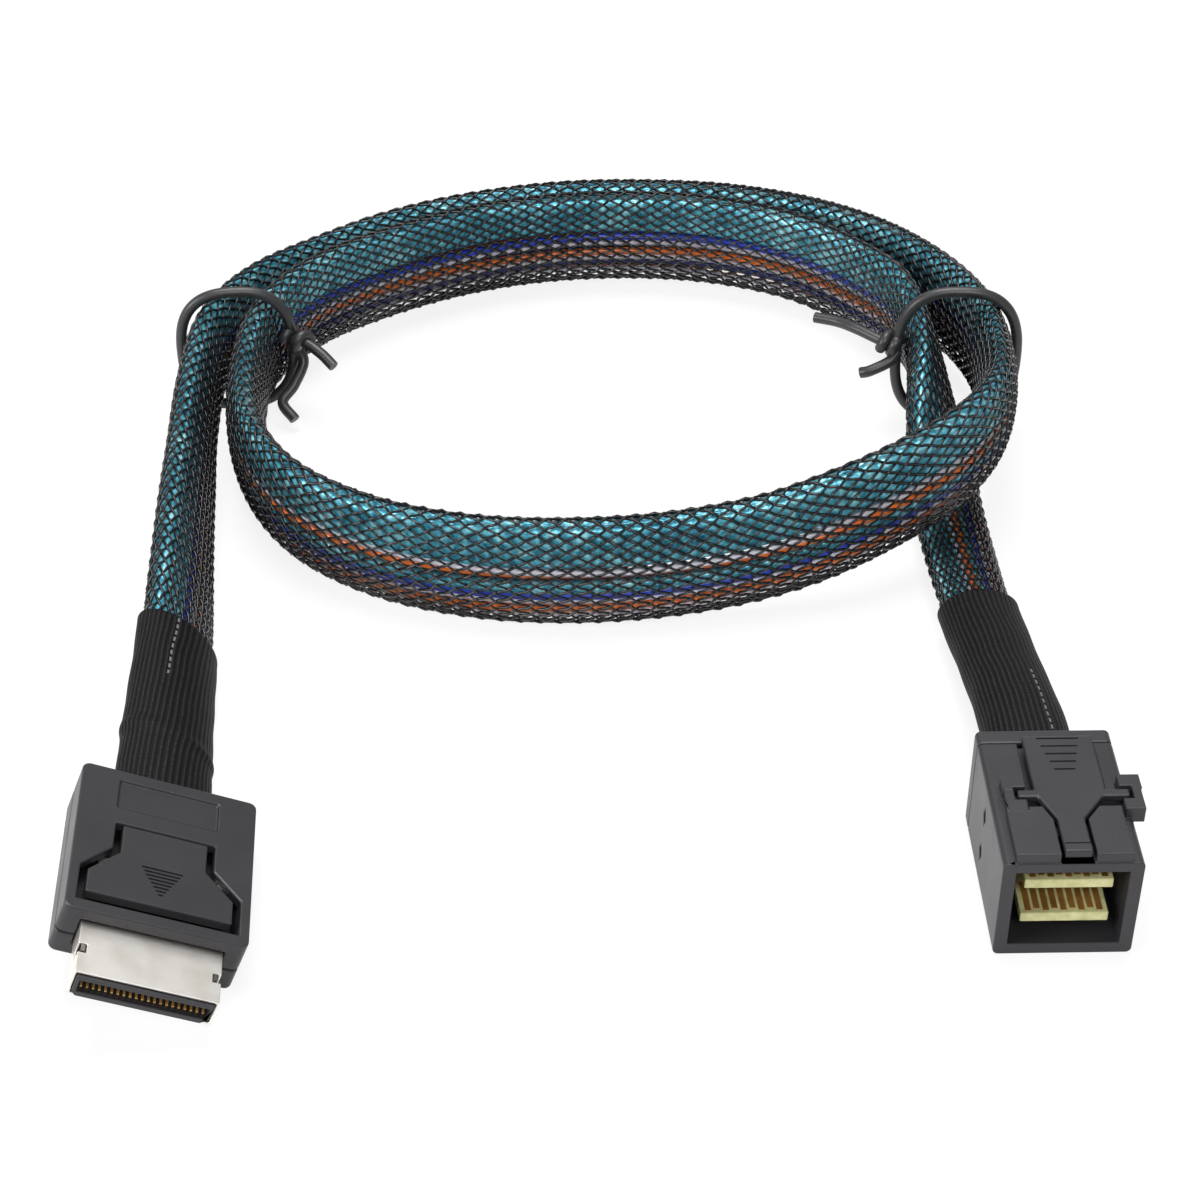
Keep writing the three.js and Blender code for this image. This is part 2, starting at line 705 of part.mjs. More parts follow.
// One of the two contact boards.
function tallCard(top) {
  const half = CARD_WIDTH / 2;
  return box(-half, half, CARD_FRONT, CARD_FRONT + CARD_LENGTH, top - CARD_THICK, top);
}

// Moulded block inside the housing that grips the ends of both boards.
function cardHolder() {
  const body = box(
    -mouthHalf + SLIM_FIT,
    mouthHalf - SLIM_FIT,
    HOLDER_START,
    HOLDER_START + HOLDER_LENGTH,
    TALL_WALL + SLIM_FIT,
    MOUTH_TOP - SLIM_FIT,
  );
  const seats = CARD_TOPS.map((top) =>
    box(
      -CARD_WIDTH / 2 - SLIM_FIT,
      CARD_WIDTH / 2 + SLIM_FIT,
      HOLDER_START - 1,
      CARD_FRONT + CARD_LENGTH + FIT,
      top - CARD_THICK - SLIM_FIT,
      top + SLIM_FIT,
    ),
  );
  return cut(body, seats);
}

// Tall plug, upright on the bench with its front at y = 0.
function tallPlug() {
  const group = new THREE.Group();
  group.add(
    piece("sas_housing", tallHousing(), MATERIALS.plastic),
    piece("sas_rear_cap", rearCap(), MATERIALS.plastic),
    piece("sas_latch_lever", latchLever(), MATERIALS.plastic),
    piece("sas_paddle_card_upper", tallCard(CARD_TOPS[0]), MATERIALS.board),
    piece("sas_paddle_card_lower", tallCard(CARD_TOPS[1]), MATERIALS.board),
    piece("sas_card_holder", cardHolder(), MATERIALS.plastic),
  );
  return group;
}

const lastStation = CABLE_STATIONS.length - 1;
const route = new THREE.CatmullRomCurve3(
  CABLE_STATIONS.map(([x, y, z]) => new THREE.Vector3(x, y, z)),
  false,
  "catmullrom",
);
const section = new THREE.CatmullRomCurve3(
  CABLE_STATIONS.map(([, , , lean, width, thick]) => new THREE.Vector3(lean, width, thick)),
  false,
  "catmullrom",
);
const reach = route.getLengths(LENGTH_SAMPLES);
const cableLength = reach[LENGTH_SAMPLES];

// Station at a length along the cable from the flat plug's end.
function stationAt(length) {
  const past = reach.findIndex((value) => value > length);
  const share = (length - reach[past - 1]) / (reach[past] - reach[past - 1]);
  return ((past - 1 + share) * lastStation) / LENGTH_SAMPLES;
}

const sleeveSpan = [stationAt(SLEEVE_FLAT_START), stationAt(cableLength - SLEEVE_TALL_START)];
const flatTapeSpan = [stationAt(FLAT_TAPE_START), stationAt(FLAT_TAPE_START + FLAT_TAPE_LENGTH)];
const tallTapeSpan = [
  stationAt(cableLength - TALL_TAPE_START - TALL_TAPE_LENGTH),
  stationAt(cableLength - TALL_TAPE_START),
];
const spanEnds = [0, lastStation, ...sleeveSpan, ...flatTapeSpan, ...tallTapeSpan];

// Places where every piece of the cable has a corner, in stations, so that nested walls stay clear.
function cableStops() {
  const lean = (stop) => section.getPoint(Math.min(stop / lastStation, 1)).x;
  const twists = (stop) => Math.abs(lean(stop + CABLE_STEP) - lean(stop)) > MOST_TWIST;
  const even = Array.from({ length: Math.ceil(lastStation / CABLE_STEP) }, (_, i) => i * CABLE_STEP);
  const fine = even.flatMap((stop) => (twists(stop) ? [stop, stop + CABLE_STEP / 2] : [stop]));
  const kept = fine.filter((stop) => spanEnds.every((end) => Math.abs(end - stop) > CABLE_STEP / 3));
  return [...kept, ...spanEnds].sort((a, b) => a - b);
}

const stops = cableStops();

// Middle, width direction, outer direction and half sizes of the cable at a place in stations.
function cableFrame(stop) {
  const share = stop / lastStation;
  const along = route.getTangent(share);
  const rise = new THREE.Vector3(0, 0, 1).addScaledVector(along, -along.z).normalize();
  const inward = new THREE.Vector3().crossVectors(along, rise);
  const [lean, width, thick] = section.getPoint(share).toArray();
  const angle = THREE.MathUtils.degToRad(lean);
  const across = rise.clone().multiplyScalar(Math.cos(angle)).addScaledVector(inward, Math.sin(angle));
  const outward = rise.clone().multiplyScalar(Math.sin(angle)).addScaledVector(inward, -Math.cos(angle));
  return { middle: route.getPoint(share), across, outward, halfWidth: width / 2, halfThick: thick / 2 };
}

// Oval outline with a number of sides.
function oval(middleX, middleY, radiusX, radiusY, sides) {
  return Array.from({ length: sides }, (_, i) => {
    const angle = (2 * Math.PI * (i + 0.5)) / sides;
    return [middleX + radiusX * Math.cos(angle), middleY + radiusY * Math.sin(angle)];
  });
}

// Straight extrusion of a section, laid along a span of the cable from its far end back, so that
// its faces point out. The section's x runs along the cable's width and its y outward; place()
// turns them to millimetres.
function alongCable(shape, [from, to], place) {
  const frames = stops.filter((stop) => stop >= from && stop <= to).reverse().map(cableFrame);
  const steps = frames.length - 1;
  const geometry = new THREE.ExtrudeGeometry(shape, { depth: 1, steps, bevelEnabled: false });
  const position = geometry.getAttribute("position");
  for (let i = 0; i < position.count; i += 1) {
    const frame = frames[Math.round(position.getZ(i) * steps)];
    const [across, outward] = place(position.getX(i), position.getY(i), frame);
    const point = frame.middle.clone();
    point.addScaledVector(frame.across, across);
    point.addScaledVector(frame.outward, outward);
    position.setXYZ(i, point.x, point.y, point.z);
  }
  return solid(geometry);
}

// Section in shares of the cable's half sizes, scaled to the frame.
function shared(x, y, frame) {
  return [x * frame.halfWidth, y * frame.halfThick];
}

// Hollow braided sleeve.
function sleeve() {
  const shape = outline(oval(0, 0, 1, 1, SECTION_SIDES));
  const inner = 1 - SLEEVE_WALL_SHARE;
  shape.holes.push(outline(oval(0, 0, inner, inner - SLEEVE_WALL_SHARE, SECTION_SIDES)));
  return alongCable(shape, sleeveSpan, shared);
}

// Tape wrap: a tube that stays clear of the sleeve by a small gap.
function tapeWrap(span) {
  const ring = oval(0, 0, 1, 1, SECTION_SIDES);
  const shape = outline(ring.map(([x, y]) => [2 * x, 2 * y]));
  shape.holes.push(outline(ring));
  return alongCable(shape, span, (x, y, frame) => {
    const radius = Math.hypot(x, y);
    const grow = TAPE_GAP + TAPE_SHEET * (Math.round(radius) - 1);
    return [(x / radius) * (frame.halfWidth + grow), (y / radius) * (frame.halfThick + grow)];
  });
}

function ribbon({ across, through, halfWidth, halfThick }) {
  const shape = outline([
    [across - halfWidth, through - halfThick],
    [across + halfWidth, through - halfThick],
    [across + halfWidth, through + halfThick],
    [across - halfWidth, through + halfThick],
  ]);
  return alongCable(shape, [0, lastStation], shared);
}

function wire({ across, through, halfWidth, halfThick }) {
  const shape = outline(oval(across, through, halfWidth, halfThick, WIRE_SIDES));
  return alongCable(shape, [0, lastStation], shared);
}

// Cable with its sleeve, tape wraps, ribbons and side wires.
function cable() {
  const group = new THREE.Group();
  group.add(
    piece("cable_sleeve", sleeve(), MATERIALS.braid),
    piece("oculink_tape_wrap", tapeWrap(flatTapeSpan), MATERIALS.tape),
    piece("sas_tape_wrap", tapeWrap(tallTapeSpan), MATERIALS.tape),
    ...RIBBONS.map((item) => piece(item.name, ribbon(item), MATERIALS.foil)),
    ...WIRES.map((item) =>
      piece(item.name, wire(item), { color: item.colour, roughness: 0.5, metalness: 0 }),
    ),
  );
  return group;
}

// Round rod along a list of points.
function rod(points, steps) {
  const path = new THREE.CatmullRomCurve3(points.map(([x, y, z]) => new THREE.Vector3(x, y, z)));
  return solid(
    new THREE.ExtrudeGeometry(outline(oval(0, 0, TIE_RADIUS, TIE_RADIUS, TIE_SIDES)), {
      steps,
      extrudePath: path,
      bevelEnabled: false,
    }),
  );
}

// Twist tie: a loop round both turns of the cable, and its two twisted ends.
function twistTie({ name, middle, turn, halfAcross, halfHigh, ends }) {
  const rounded = (value) => Math.sign(value) * Math.abs(value) ** (2 / TIE_SQUARENESS);
  const half = (start) =>
    Array.from({ length: TIE_LOOP_STEPS + 1 }, (_, i) => {
      const angle = start + ((Math.PI + 0.12) * i) / TIE_LOOP_STEPS;
      return [halfAcross * rounded(Math.cos(angle)), 0, halfHigh * rounded(Math.sin(angle))];
    });
  const loop = [0, Math.PI].map((start) => rod(half(start), TIE_LOOP_STEPS));
  const tails = ends.map((points) => rod(points, TIE_END_STEPS));
  const mesh = piece(name, joined([...loop, ...tails]), MATERIALS.rubber);
  mesh.rotation.z = THREE.MathUtils.degToRad(turn);
  mesh.position.set(...middle);
  return mesh;
}

const assembly = new THREE.Group().add(flatPlug(), tallPlug(), cable(), ...TIES.map(twistTie));
assembly.position.y = -TALL_LENGTH / 2;

export default new THREE.Group().add(assembly);
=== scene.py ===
"""Internal server data cable: two plugs, a braided flat cable wound in a coil, two twist ties."""

import logging
import math
from dataclasses import dataclass, field
from enum import Enum
from typing import Callable, Iterable, Sequence, Union

import bmesh
import bpy
import numpy as np
from bmesh.types import BMEdge, BMesh
from bpy.types import Material, Mesh, Node, NodeSocket, Object, World
from mathutils import Matrix, Vector


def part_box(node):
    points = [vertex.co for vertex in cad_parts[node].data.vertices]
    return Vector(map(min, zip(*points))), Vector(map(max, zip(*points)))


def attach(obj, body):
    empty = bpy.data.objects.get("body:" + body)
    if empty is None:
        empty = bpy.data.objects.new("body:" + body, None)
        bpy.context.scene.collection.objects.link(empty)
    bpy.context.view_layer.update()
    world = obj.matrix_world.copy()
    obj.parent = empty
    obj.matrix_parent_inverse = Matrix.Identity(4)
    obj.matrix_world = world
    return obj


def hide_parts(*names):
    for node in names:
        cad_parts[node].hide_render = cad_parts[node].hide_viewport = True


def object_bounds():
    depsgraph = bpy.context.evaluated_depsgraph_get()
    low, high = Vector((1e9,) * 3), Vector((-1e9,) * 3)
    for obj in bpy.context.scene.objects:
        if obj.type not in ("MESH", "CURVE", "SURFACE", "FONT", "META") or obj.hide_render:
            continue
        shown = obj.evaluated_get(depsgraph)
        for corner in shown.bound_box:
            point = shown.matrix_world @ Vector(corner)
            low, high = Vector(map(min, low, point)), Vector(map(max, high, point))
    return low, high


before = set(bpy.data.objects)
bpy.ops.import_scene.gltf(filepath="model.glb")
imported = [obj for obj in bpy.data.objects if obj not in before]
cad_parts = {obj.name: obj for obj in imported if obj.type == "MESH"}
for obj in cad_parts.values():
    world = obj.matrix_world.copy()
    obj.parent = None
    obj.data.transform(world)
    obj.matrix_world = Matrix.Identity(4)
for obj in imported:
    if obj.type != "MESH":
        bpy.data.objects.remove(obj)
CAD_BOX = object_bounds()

LOG = logging.getLogger("cable")
MM = 0.001
ROW_SHIFT = -7.6
FLAT_ANGLE = math.radians(2)
SHARP_ANGLE = math.radians(28)
WHITE = (1.0, 1.0, 1.0)
EVEN = (1.0, 1.0, 1.0)

Triple = tuple[float, float, float]
Colour = Triple
Number = Union[float, "Value"]
Point = Sequence[float]
Looks = dict["Slot", Material]

# Route of the cable: middle x, y and height in mm, lean in degrees, width and thickness in mm
STATIONS = (
    (-76.0, 3.5, 5.3, -67.6, 7.6, 2.4),
    (-76.4, 10.5, 5.3, -67.6, 7.6, 2.6),
    (-76.8, 17.5, 5.3, -64.0, 7.6, 3.5),
    (-77.3, 26.0, 5.2, -53.0, 7.8, 3.7),
    (-77.7, 34.5, 5.1, -40.0, 8.4, 3.8),
    (-78.3, 44.0, 5.2, -26.0, 9.9, 4.2),
    (-79.0, 54.5, 5.5, -18.0, 10.6, 4.2),
    (-79.6, 65.0, 5.7, -11.0, 11.2, 4.2),
    (-80.0, 76.0, 6.7, -5.0, 11.5, 4.2),
    (-79.3, 86.0, 7.5, 0.0, 11.6, 4.2),
    (-75.6, 95.5, 6.8, 0.0, 11.6, 4.2),
    (-69.3, 103.5, 5.9, 0.0, 11.6, 4.2),
    (-61.0, 109.7, 5.9, 0.0, 11.6, 4.2),
    (-51.5, 114.0, 5.9, 0.0, 11.6, 4.2),
    (-41.3, 116.4, 5.9, 0.0, 11.6, 4.2),
    (-31.0, 116.7, 5.9, 0.0, 11.6, 4.2),
    (-21.2, 115.0, 6.1, 0.0, 11.6, 4.2),
    (-12.0, 110.8, 6.5, 0.0, 11.6, 4.2),
    (-4.4, 103.9, 7.2, 0.0, 11.6, 4.2),
    (1.0, 95.0, 8.0, 0.0, 11.6, 4.2),
    (3.9, 85.2, 8.9, 0.0, 11.8, 4.2),
    (4.3, 75.0, 9.9, 0.0, 12.0, 4.2),
    (2.6, 65.5, 11.0, 0.0, 12.2, 4.2),
    (-2.6, 57.0, 11.6, 0.0, 12.4, 4.2),
    (-10.8, 51.4, 10.2, 0.0, 12.6, 4.2),
    (-20.4, 48.4, 7.9, 0.0, 12.6, 4.2),
    (-30.5, 46.8, 6.7, 0.0, 12.6, 4.2),
    (-40.7, 46.1, 6.5, 0.0, 12.6, 4.2),
    (-50.8, 47.3, 6.4, 0.0, 12.4, 4.2),
    (-60.4, 50.9, 6.4, 0.0, 12.2, 4.2),
    (-68.3, 57.3, 6.4, 0.0, 12.0, 4.2),
    (-73.2, 66.2, 6.5, 0.0, 11.8, 4.2),
    (-74.8, 76.4, 7.1, 0.0, 11.6, 4.2),
    (-73.8, 86.5, 7.7, 0.0, 11.6, 4.2),
    (-69.2, 95.8, 7.5, 0.0, 11.6, 4.2),
    (-62.2, 102.8, 7.0, 0.0, 11.6, 4.2),
    (-53.1, 108.0, 7.0, 0.0, 11.6, 4.2),
    (-43.5, 111.0, 7.0, 0.0, 11.6, 4.2),
    (-33.3, 111.8, 7.0, 0.0, 11.6, 4.2),
    (-23.4, 110.4, 7.0, 0.0, 11.6, 4.2),
    (-14.5, 106.6, 6.9, 0.0, 11.6, 4.2),
    (-7.6, 100.5, 6.6, 0.0, 11.6, 4.2),
    (-3.2, 92.4, 7.2, 4.0, 11.4, 4.2),
    (-1.8, 82.6, 6.6, 16.0, 10.6, 4.2),
    (-1.7, 72.6, 4.6, 44.0, 9.2, 4.2),
    (-1.8, 62.8, 2.6, 74.0, 8.0, 4.2),
    (-1.6, 52.8, 2.4, 86.0, 7.4, 4.2),
    (-1.2, 43.0, 2.9, 90.0, 6.9, 4.2),
    (-0.6, 33.5, 3.9, 90.0, 6.7, 4.2),
    (-0.1, 24.0, 4.9, 90.0, 6.9, 4.2),
    (0.0, 11.8, 5.2, 90.0, 7.2, 4.2),
)


class Body(Enum):
    """Bodies of the frame that pieces ride on."""

    CABLE = "cable"
    TAB = "release_tab"
    LEVER = "latch_lever"


class Slot(Enum):
    """Material slots of the record."""

    PLASTIC = "black_plastic"
    NICKEL = "nickel"
    GOLD = "gold"
    BOARD = "board"
    TAPE = "tape"
    BRAID = "braid"
    FOIL = "teal_foil"
    WHITE = "white_wire"
    ORANGE = "orange_wire"
    BLUE = "blue_wire"
    NAVY = "navy_wire"
    RUBBER = "tie_rubber"


class Turn(Enum):
    """Way round in which a strand family winds about the cable."""

    LEFT = -1
    RIGHT = 1


class Value:
    """Number that varies over a surface; arithmetic on it adds Math nodes to its graph."""

    def __init__(self, graph: "Graph", socket: NodeSocket) -> None:
        """Wraps an output socket of a graph."""
        self.graph = graph
        self.socket = socket

    def _math(self, operation: str, second: Number) -> "Value":
        """Adds a Math node of this value and a second one."""
        node = self.graph.node("ShaderNodeMath", {"operation": operation}, {0: self, 1: second})
        return Value(self.graph, node.outputs[0])

    def __add__(self, other: Number) -> "Value":
        """Sum."""
        return self._math("ADD", other)

    def __sub__(self, other: Number) -> "Value":
        """Difference."""
        return self._math("SUBTRACT", other)

    def __mul__(self, other: Number) -> "Value":
        """Product."""
        return self._math("MULTIPLY", other)

    def __mod__(self, other: Number) -> "Value":
        """Remainder."""
        return self._math("FLOORED_MODULO", other)

    def larger(self, other: Number) -> "Value":
        """Larger of two values."""
        return self._math("MAXIMUM", other)

    def above(self, limit: Number) -> "Value":
        """1 where the value is over the limit."""
        return self._math("GREATER_THAN", limit)

    def wave(self, period: float) -> "Value":
        """Cosine of the value, between 0 and 1, with a period."""
        return (self * (2 * math.pi / period))._math("COSINE", 0.0) * 0.5 + 0.5


class Graph:
    """Node tree and the ways to add to it."""

    def __init__(self, owner: Union[Material, World]) -> None:
        """Empties the node tree of a material or world."""
        owner.use_nodes = True
        self.tree = owner.node_tree
        self.tree.nodes.clear()

    def node(self, kind: str, settings: Union[dict, None] = None, sockets: Union[dict, None] = None) -> Node:
        """Adds a node.

        Args:
            kind: the node's type.
            settings: its properties, set first; "stops" are a ramp's places and colours.
            sockets: values or links of its inputs, by name or number.

        Returns:
            The node.
        """
        made = self.tree.nodes.new(kind)
        for name, value in (settings or {}).items():
            if name == "stops":
                self._stops(made, value)
            else:
                setattr(made, name, value)
        for key, value in (sockets or {}).items():
            self.feed(made.inputs[key], value)
        return made

    @staticmethod
    def _stops(ramp: Node, stops: Sequence[tuple[float, Colour]]) -> None:
        """Puts a colour ramp's stops in place."""
        elements = ramp.color_ramp.elements
        while len(elements) < len(stops):
            elements.new(1.0)
        for element, (place, colour) in zip(elements, stops):
            element.position = place
            element.color = (*colour, 1.0)

    def feed(self, target: NodeSocket, value: object) -> None:
        """Sets or links an input socket."""
        if isinstance(value, Value):
            self.tree.links.new(value.socket, target)
        elif isinstance(value, NodeSocket):
            self.tree.links.new(value, target)
        elif isinstance(value, tuple) and target.type == "RGBA":
            target.default_value = (*value, 1.0)
        else:
            target.default_value = value


class Look(Graph):
    """Node material of one finish, with its shader and the ways to feed it."""

    def __init__(self, name: str) -> None:
        """Makes an empty material with a Principled shader."""
        self.material = bpy.data.materials.new(name)
        super().__init__(self.material)
        self.output = self.node("ShaderNodeOutputMaterial")
        self.shader = self.node("ShaderNodeBsdfPrincipled")
        self.feed(self.output.inputs[0], self.shader.outputs[0])
        self.place = self.node("ShaderNodeTexCoord").outputs["Object"]

    def set(self, **sockets: object) -> None:
        """Feeds the shader's sockets, named with _ for a space."""
        for name, value in sockets.items():
            self.feed(self.shader.inputs[name.replace("_", " ").title().replace("Ior", "IOR")], value)

    def noise(self, size: float, detail: float = 2.0, stretch: Point = EVEN) -> Value:
        """Noise of a real size.

        Args:
            size: size of its features in metres.
            detail: number of finer layers.
            stretch: scale of each axis.

        Returns:
            The noise between 0 and 1.
        """
        mapping = self.node("ShaderNodeMapping", {}, {"Vector": self.place, "Scale": stretch})
        sockets = {"Vector": mapping.outputs[0], "Scale": 1.0 / size, "Detail": detail}
        node = self.node("ShaderNodeTexNoise", {}, sockets)
        return Value(self, node.outputs[0])

    def along(self, axis: str, coordinates: str = "UV") -> Value:
        """One axis of the surface's own coordinates, or of the object's."""
        source = self.node("ShaderNodeTexCoord").outputs[coordinates]
        split = self.node("ShaderNodeSeparateXYZ", {}, {0: source})
        return Value(self, split.outputs[axis])

    def ramp(self, value: Value, *stops: tuple[float, Colour]) -> NodeSocket:
        """Colours that follow a value."""
        node = self.node("ShaderNodeValToRGB", {"stops": stops}, {"Fac": value})
        return node.outputs["Color"]

    def mix(self, share: Number, first: object, second: object) -> NodeSocket:
        """Mix of two colours."""
        node = self.node("ShaderNodeMix", {"data_type": "RGBA"}, {0: share, 6: first, 7: second})
        return node.outputs[2]

    def bump(self, height: Value, distance: float, strength: float = 1.0) -> "Look":
        """Raises the surface by a height.

        Args:
            height: height between 0 and 1.
            distance: what a height of 1 is in metres.
            strength: how strongly it shows.

        Returns:
            The look.
        """
        sockets = {"Height": height, "Distance": distance, "Strength": strength}
        node = self.node("ShaderNodeBump", {}, sockets)
        self.feed(self.shader.inputs["Normal"], node.outputs[0])
        return self


def scaled(colour: Colour, factor: float) -> Colour:
    """Colour made lighter by a factor."""
    return tuple(factor * share for share in colour)


@dataclass(frozen=True)
class MouldedPlastic:
    """Satin black plastic with a fine mould grain, handling smears and dust specks."""

    name: str
    colour: Colour
    roughness: float
    grain: float = 0.00009
    smear: float = 0.004

    def material(self) -> Material:
        """Builds the material."""
        look = Look(self.name)
        smear = look.noise(self.smear, 3.0)
        grain = look.noise(self.grain, 1.0)
        fleck = look.noise(self.grain * 3.5, 0.0).above(0.84)
        body = look.mix(smear, self.colour, scaled(self.colour, 1.35))
        look.set(
            base_color=look.mix(fleck * 0.35, body, scaled(self.colour, 4)),
            roughness=smear * 0.14 + grain * 0.08 + (self.roughness - 0.1),
            specular_ior_level=0.4,
        )
        return look.bump(grain + smear * 0.6, 0.000006, 0.5).material


@dataclass(frozen=True)
class PlatedMetal:
    """Plated sheet with fine drawing lines and faint stains."""

    name: str
    colour: Colour
    stain: Colour
    roughness: float
    stretch: Point = (1.0, 9.0, 1.0)
    metallic: float = 1.0

    def material(self) -> Material:
        """Builds the material."""
        look = Look(self.name)
        line = look.noise(0.00035, 2.0, self.stretch)
        patch = look.noise(0.0022, 3.0)
        look.set(
            base_color=look.ramp(patch, (0.3, self.stain), (0.62, self.colour)),
            metallic=self.metallic,
            roughness=line * 0.14 + patch * 0.08 + (self.roughness - 0.1),
        )
        return look.bump(line, 0.000004, 0.5).material


GOLD_PLATE = PlatedMetal("gold_plate", (1.0, 0.62, 0.2), (0.85, 0.42, 0.1), 0.3, metallic=0.7)
# The pads' plate is a darker, browner copy of the gold plate.
PAD_PLATE = PlatedMetal("pad_plate", (0.5, 0.25, 0.06), (0.28, 0.13, 0.03), 0.36, metallic=0.6)


@dataclass(frozen=True)
class CircuitBoard:
    """Bare board edge and solder mask with the weave of its glass cloth."""

    name: str
    colour: Colour
    shade: Colour
    cloth: float = 0.00022

    def material(self) -> Material:
        """Builds the material."""
        look = Look(self.name)
        weave = look.along("X", "Object").wave(self.cloth) * look.along("Y", "Object").wave(self.cloth)
        cloud = look.noise(0.0009, 3.0)
        look.set(
            base_color=look.ramp(cloud * 0.8 + weave * 0.2, (0.25, self.shade), (0.65, self.colour)),
            roughness=cloud * 0.2 + 0.3,
        )
        return look.bump(weave, 0.000008, 0.6).material


@dataclass(frozen=True)
class ClothTape:
    """Black cloth tape with ribs along the cable, fine cross threads and a pale stitch line."""

    name: str
    length: float
    ribs: float = 46.0
    threads: float = 0.0004
    stitch: float = 0.0009
    stitch_side: float = 0.335

    def material(self) -> Material:
        """Builds the material, which follows the wrap's own UV map."""
        look = Look(self.name)
        along = look.along("X") * self.length
        around = look.along("Y")
        drift = look.noise(0.007, 1.0) * 0.022
        rib = ((around + drift) * self.ribs).wave(1.0)
        thread = along.wave(self.threads)
        fuzz = look.noise(0.00022, 3.0)
        seam = ((around + drift) % 0.5 - self.stitch_side).wave(1.0).above(0.99985)
        dash = along.wave(self.stitch).above(0.35)
        shown = look.noise(0.012, 1.0).above(0.5)
        # Painted shade in the rib grooves and painted highlight on the rib tops, mixed with the cloth's
        # random fuzz tone.
        cloth = look.ramp(
            rib * 0.55 + fuzz * 0.45,
            (0.3, (0.0012, 0.0012, 0.0014)),
            (0.62, (0.0045, 0.0043, 0.005)),
            (0.88, (0.026, 0.025, 0.027)),
        )
        look.set(
            base_color=look.mix(seam * dash * shown * 0.7, cloth, (0.22, 0.21, 0.22)),
            roughness=fuzz * 0.25 + 0.5,
            specular_ior_level=0.14,
        )
        return look.bump(rib * 0.6 + thread * 0.25 + fuzz * 0.5, 0.00008, 0.9).material


@dataclass(frozen=True)
class Monofilament:
    """Black glossy braiding thread."""

    name: str
    colour: Colour = (0.0035, 0.0035, 0.004)

    def material(self) -> Material:
        """Builds the material."""
        look = Look(self.name)
        cloud = look.noise(0.0014, 2.0)
        fine = look.noise(0.00012, 1.0)
        look.set(
            base_color=look.mix(cloud, self.colour, scaled(self.colour, 2.4)),
            roughness=cloud * 0.1 + fine * 0.06 + 0.12,
            specular_ior_level=0.42,
        )
        return look.bump(fine, 0.000006, 0.4).material


@dataclass(frozen=True)
class FoilFilm:
    """Shiny tinted film wrapped round wire pairs, with its wrap edges and creases, and painted shade and
    painted highlights over the creases.
    """

    name: str
    painted_shade_and_seam: Colour
    body: Colour
    painted_highlight: Colour
    length: float
    wrap: float = 0.0062

    def material(self) -> Material:
        """Builds the material, which follows the ribbon's own UV map."""
        look = Look(self.name)
        along = look.along("X") * self.length
        around = look.along("Y")
        crease = look.noise(0.0009, 3.0)
        broad = look.noise(0.006, 2.0)
        turned = (along * (1.0 / self.wrap) + around + crease * 0.12) % 1.0
        edge = turned.above(0.93)
        # Painted shade and painted highlights: the film's colour goes darker and lighter with its creases,
        # mixed with a broad random tone.
        colour = look.ramp(
            crease * 0.6 + broad * 0.4,
            (0.36, self.painted_shade_and_seam),
            (0.5, self.body),
            (0.62, self.painted_highlight),
        )
        look.set(
            # The wrap edges take the painted shade colour as a dark seam.
            base_color=look.mix(edge * 0.5, colour, self.painted_shade_and_seam),
            metallic=0.35,
            roughness=crease * 0.2 + 0.2,
        )
        return look.bump(crease * 0.8 + turned * 0.4, 0.0002, 0.9).material


@dataclass(frozen=True)
class Insulation:
    """Glossy coloured wire insulation with faint clouding and drawing lines."""

    name: str
    colour: Colour
    shade: Colour

    def material(self) -> Material:
        """Builds the material."""
        look = Look(self.name)
        cloud = look.noise(0.004, 3.0)
        fine = look.noise(0.0003, 2.0)
        look.set(
            base_color=look.ramp(cloud * 0.7 + fine * 0.3, (0.3, self.shade), (0.62, self.colour)),
            roughness=fine * 0.15 + 0.26,
        )
        return look.bump(fine, 0.00001, 0.5).material


@dataclass(frozen=True)
class CoatedRubber:
    """Soft black coating of the twist ties, with a dull bloom and faint ripples."""

    name: str
    colour: Colour = (0.012, 0.012, 0.013)

    def material(self) -> Material:
        """Builds the material."""
        look = Look(self.name)
        bloom = look.noise(0.003, 3.0)
        fine = look.noise(0.00025, 2.0)
        look.set(
            base_color=look.mix(bloom, self.colour, scaled(self.colour, 2.6)),
            roughness=bloom * 0.2 + 0.3,
        )
        return look.bump(fine * 0.5 + bloom, 0.00003, 0.6).material


def finished(
    name: str,
    mesh: Mesh,
    look: Material,
    body: Body,
    slot: Slot,
    nodes: Iterable[str] = (),
) -> Object:
    """Makes a mesh a piece of the object.

    Args:
        name: the piece's name.
        mesh: its mesh, in place.
        look: its material.
        body: the body that it rides on.
        slot: the record's material slot; not used.
        nodes: CAD nodes that it stands for.

    Returns:
        The piece.
    """
    piece = bpy.data.objects.new(name, mesh)
    bpy.context.scene.collection.objects.link(piece)
    mesh.materials.clear()
    mesh.materials.append(look)
    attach(piece, body.value)
    if nodes:
        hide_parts(*nodes)
    LOG.info("%s: %d faces, rides on %s", name, len(mesh.polygons), body.value)
    return piece


def mesh_of(bm: BMesh, name: str, smooth: bool) -> Mesh:
    """Turns a bmesh into a mesh and frees it.

    Args:
        bm: the bmesh.
        name: the mesh's name.
        smooth: whether its faces are shaded smooth.

    Returns:
        The mesh.
    """
    for face in bm.faces:
        face.smooth = smooth
    mesh = bpy.data.meshes.new(name)
    bm.to_mesh(mesh)
    bm.free()
    return mesh


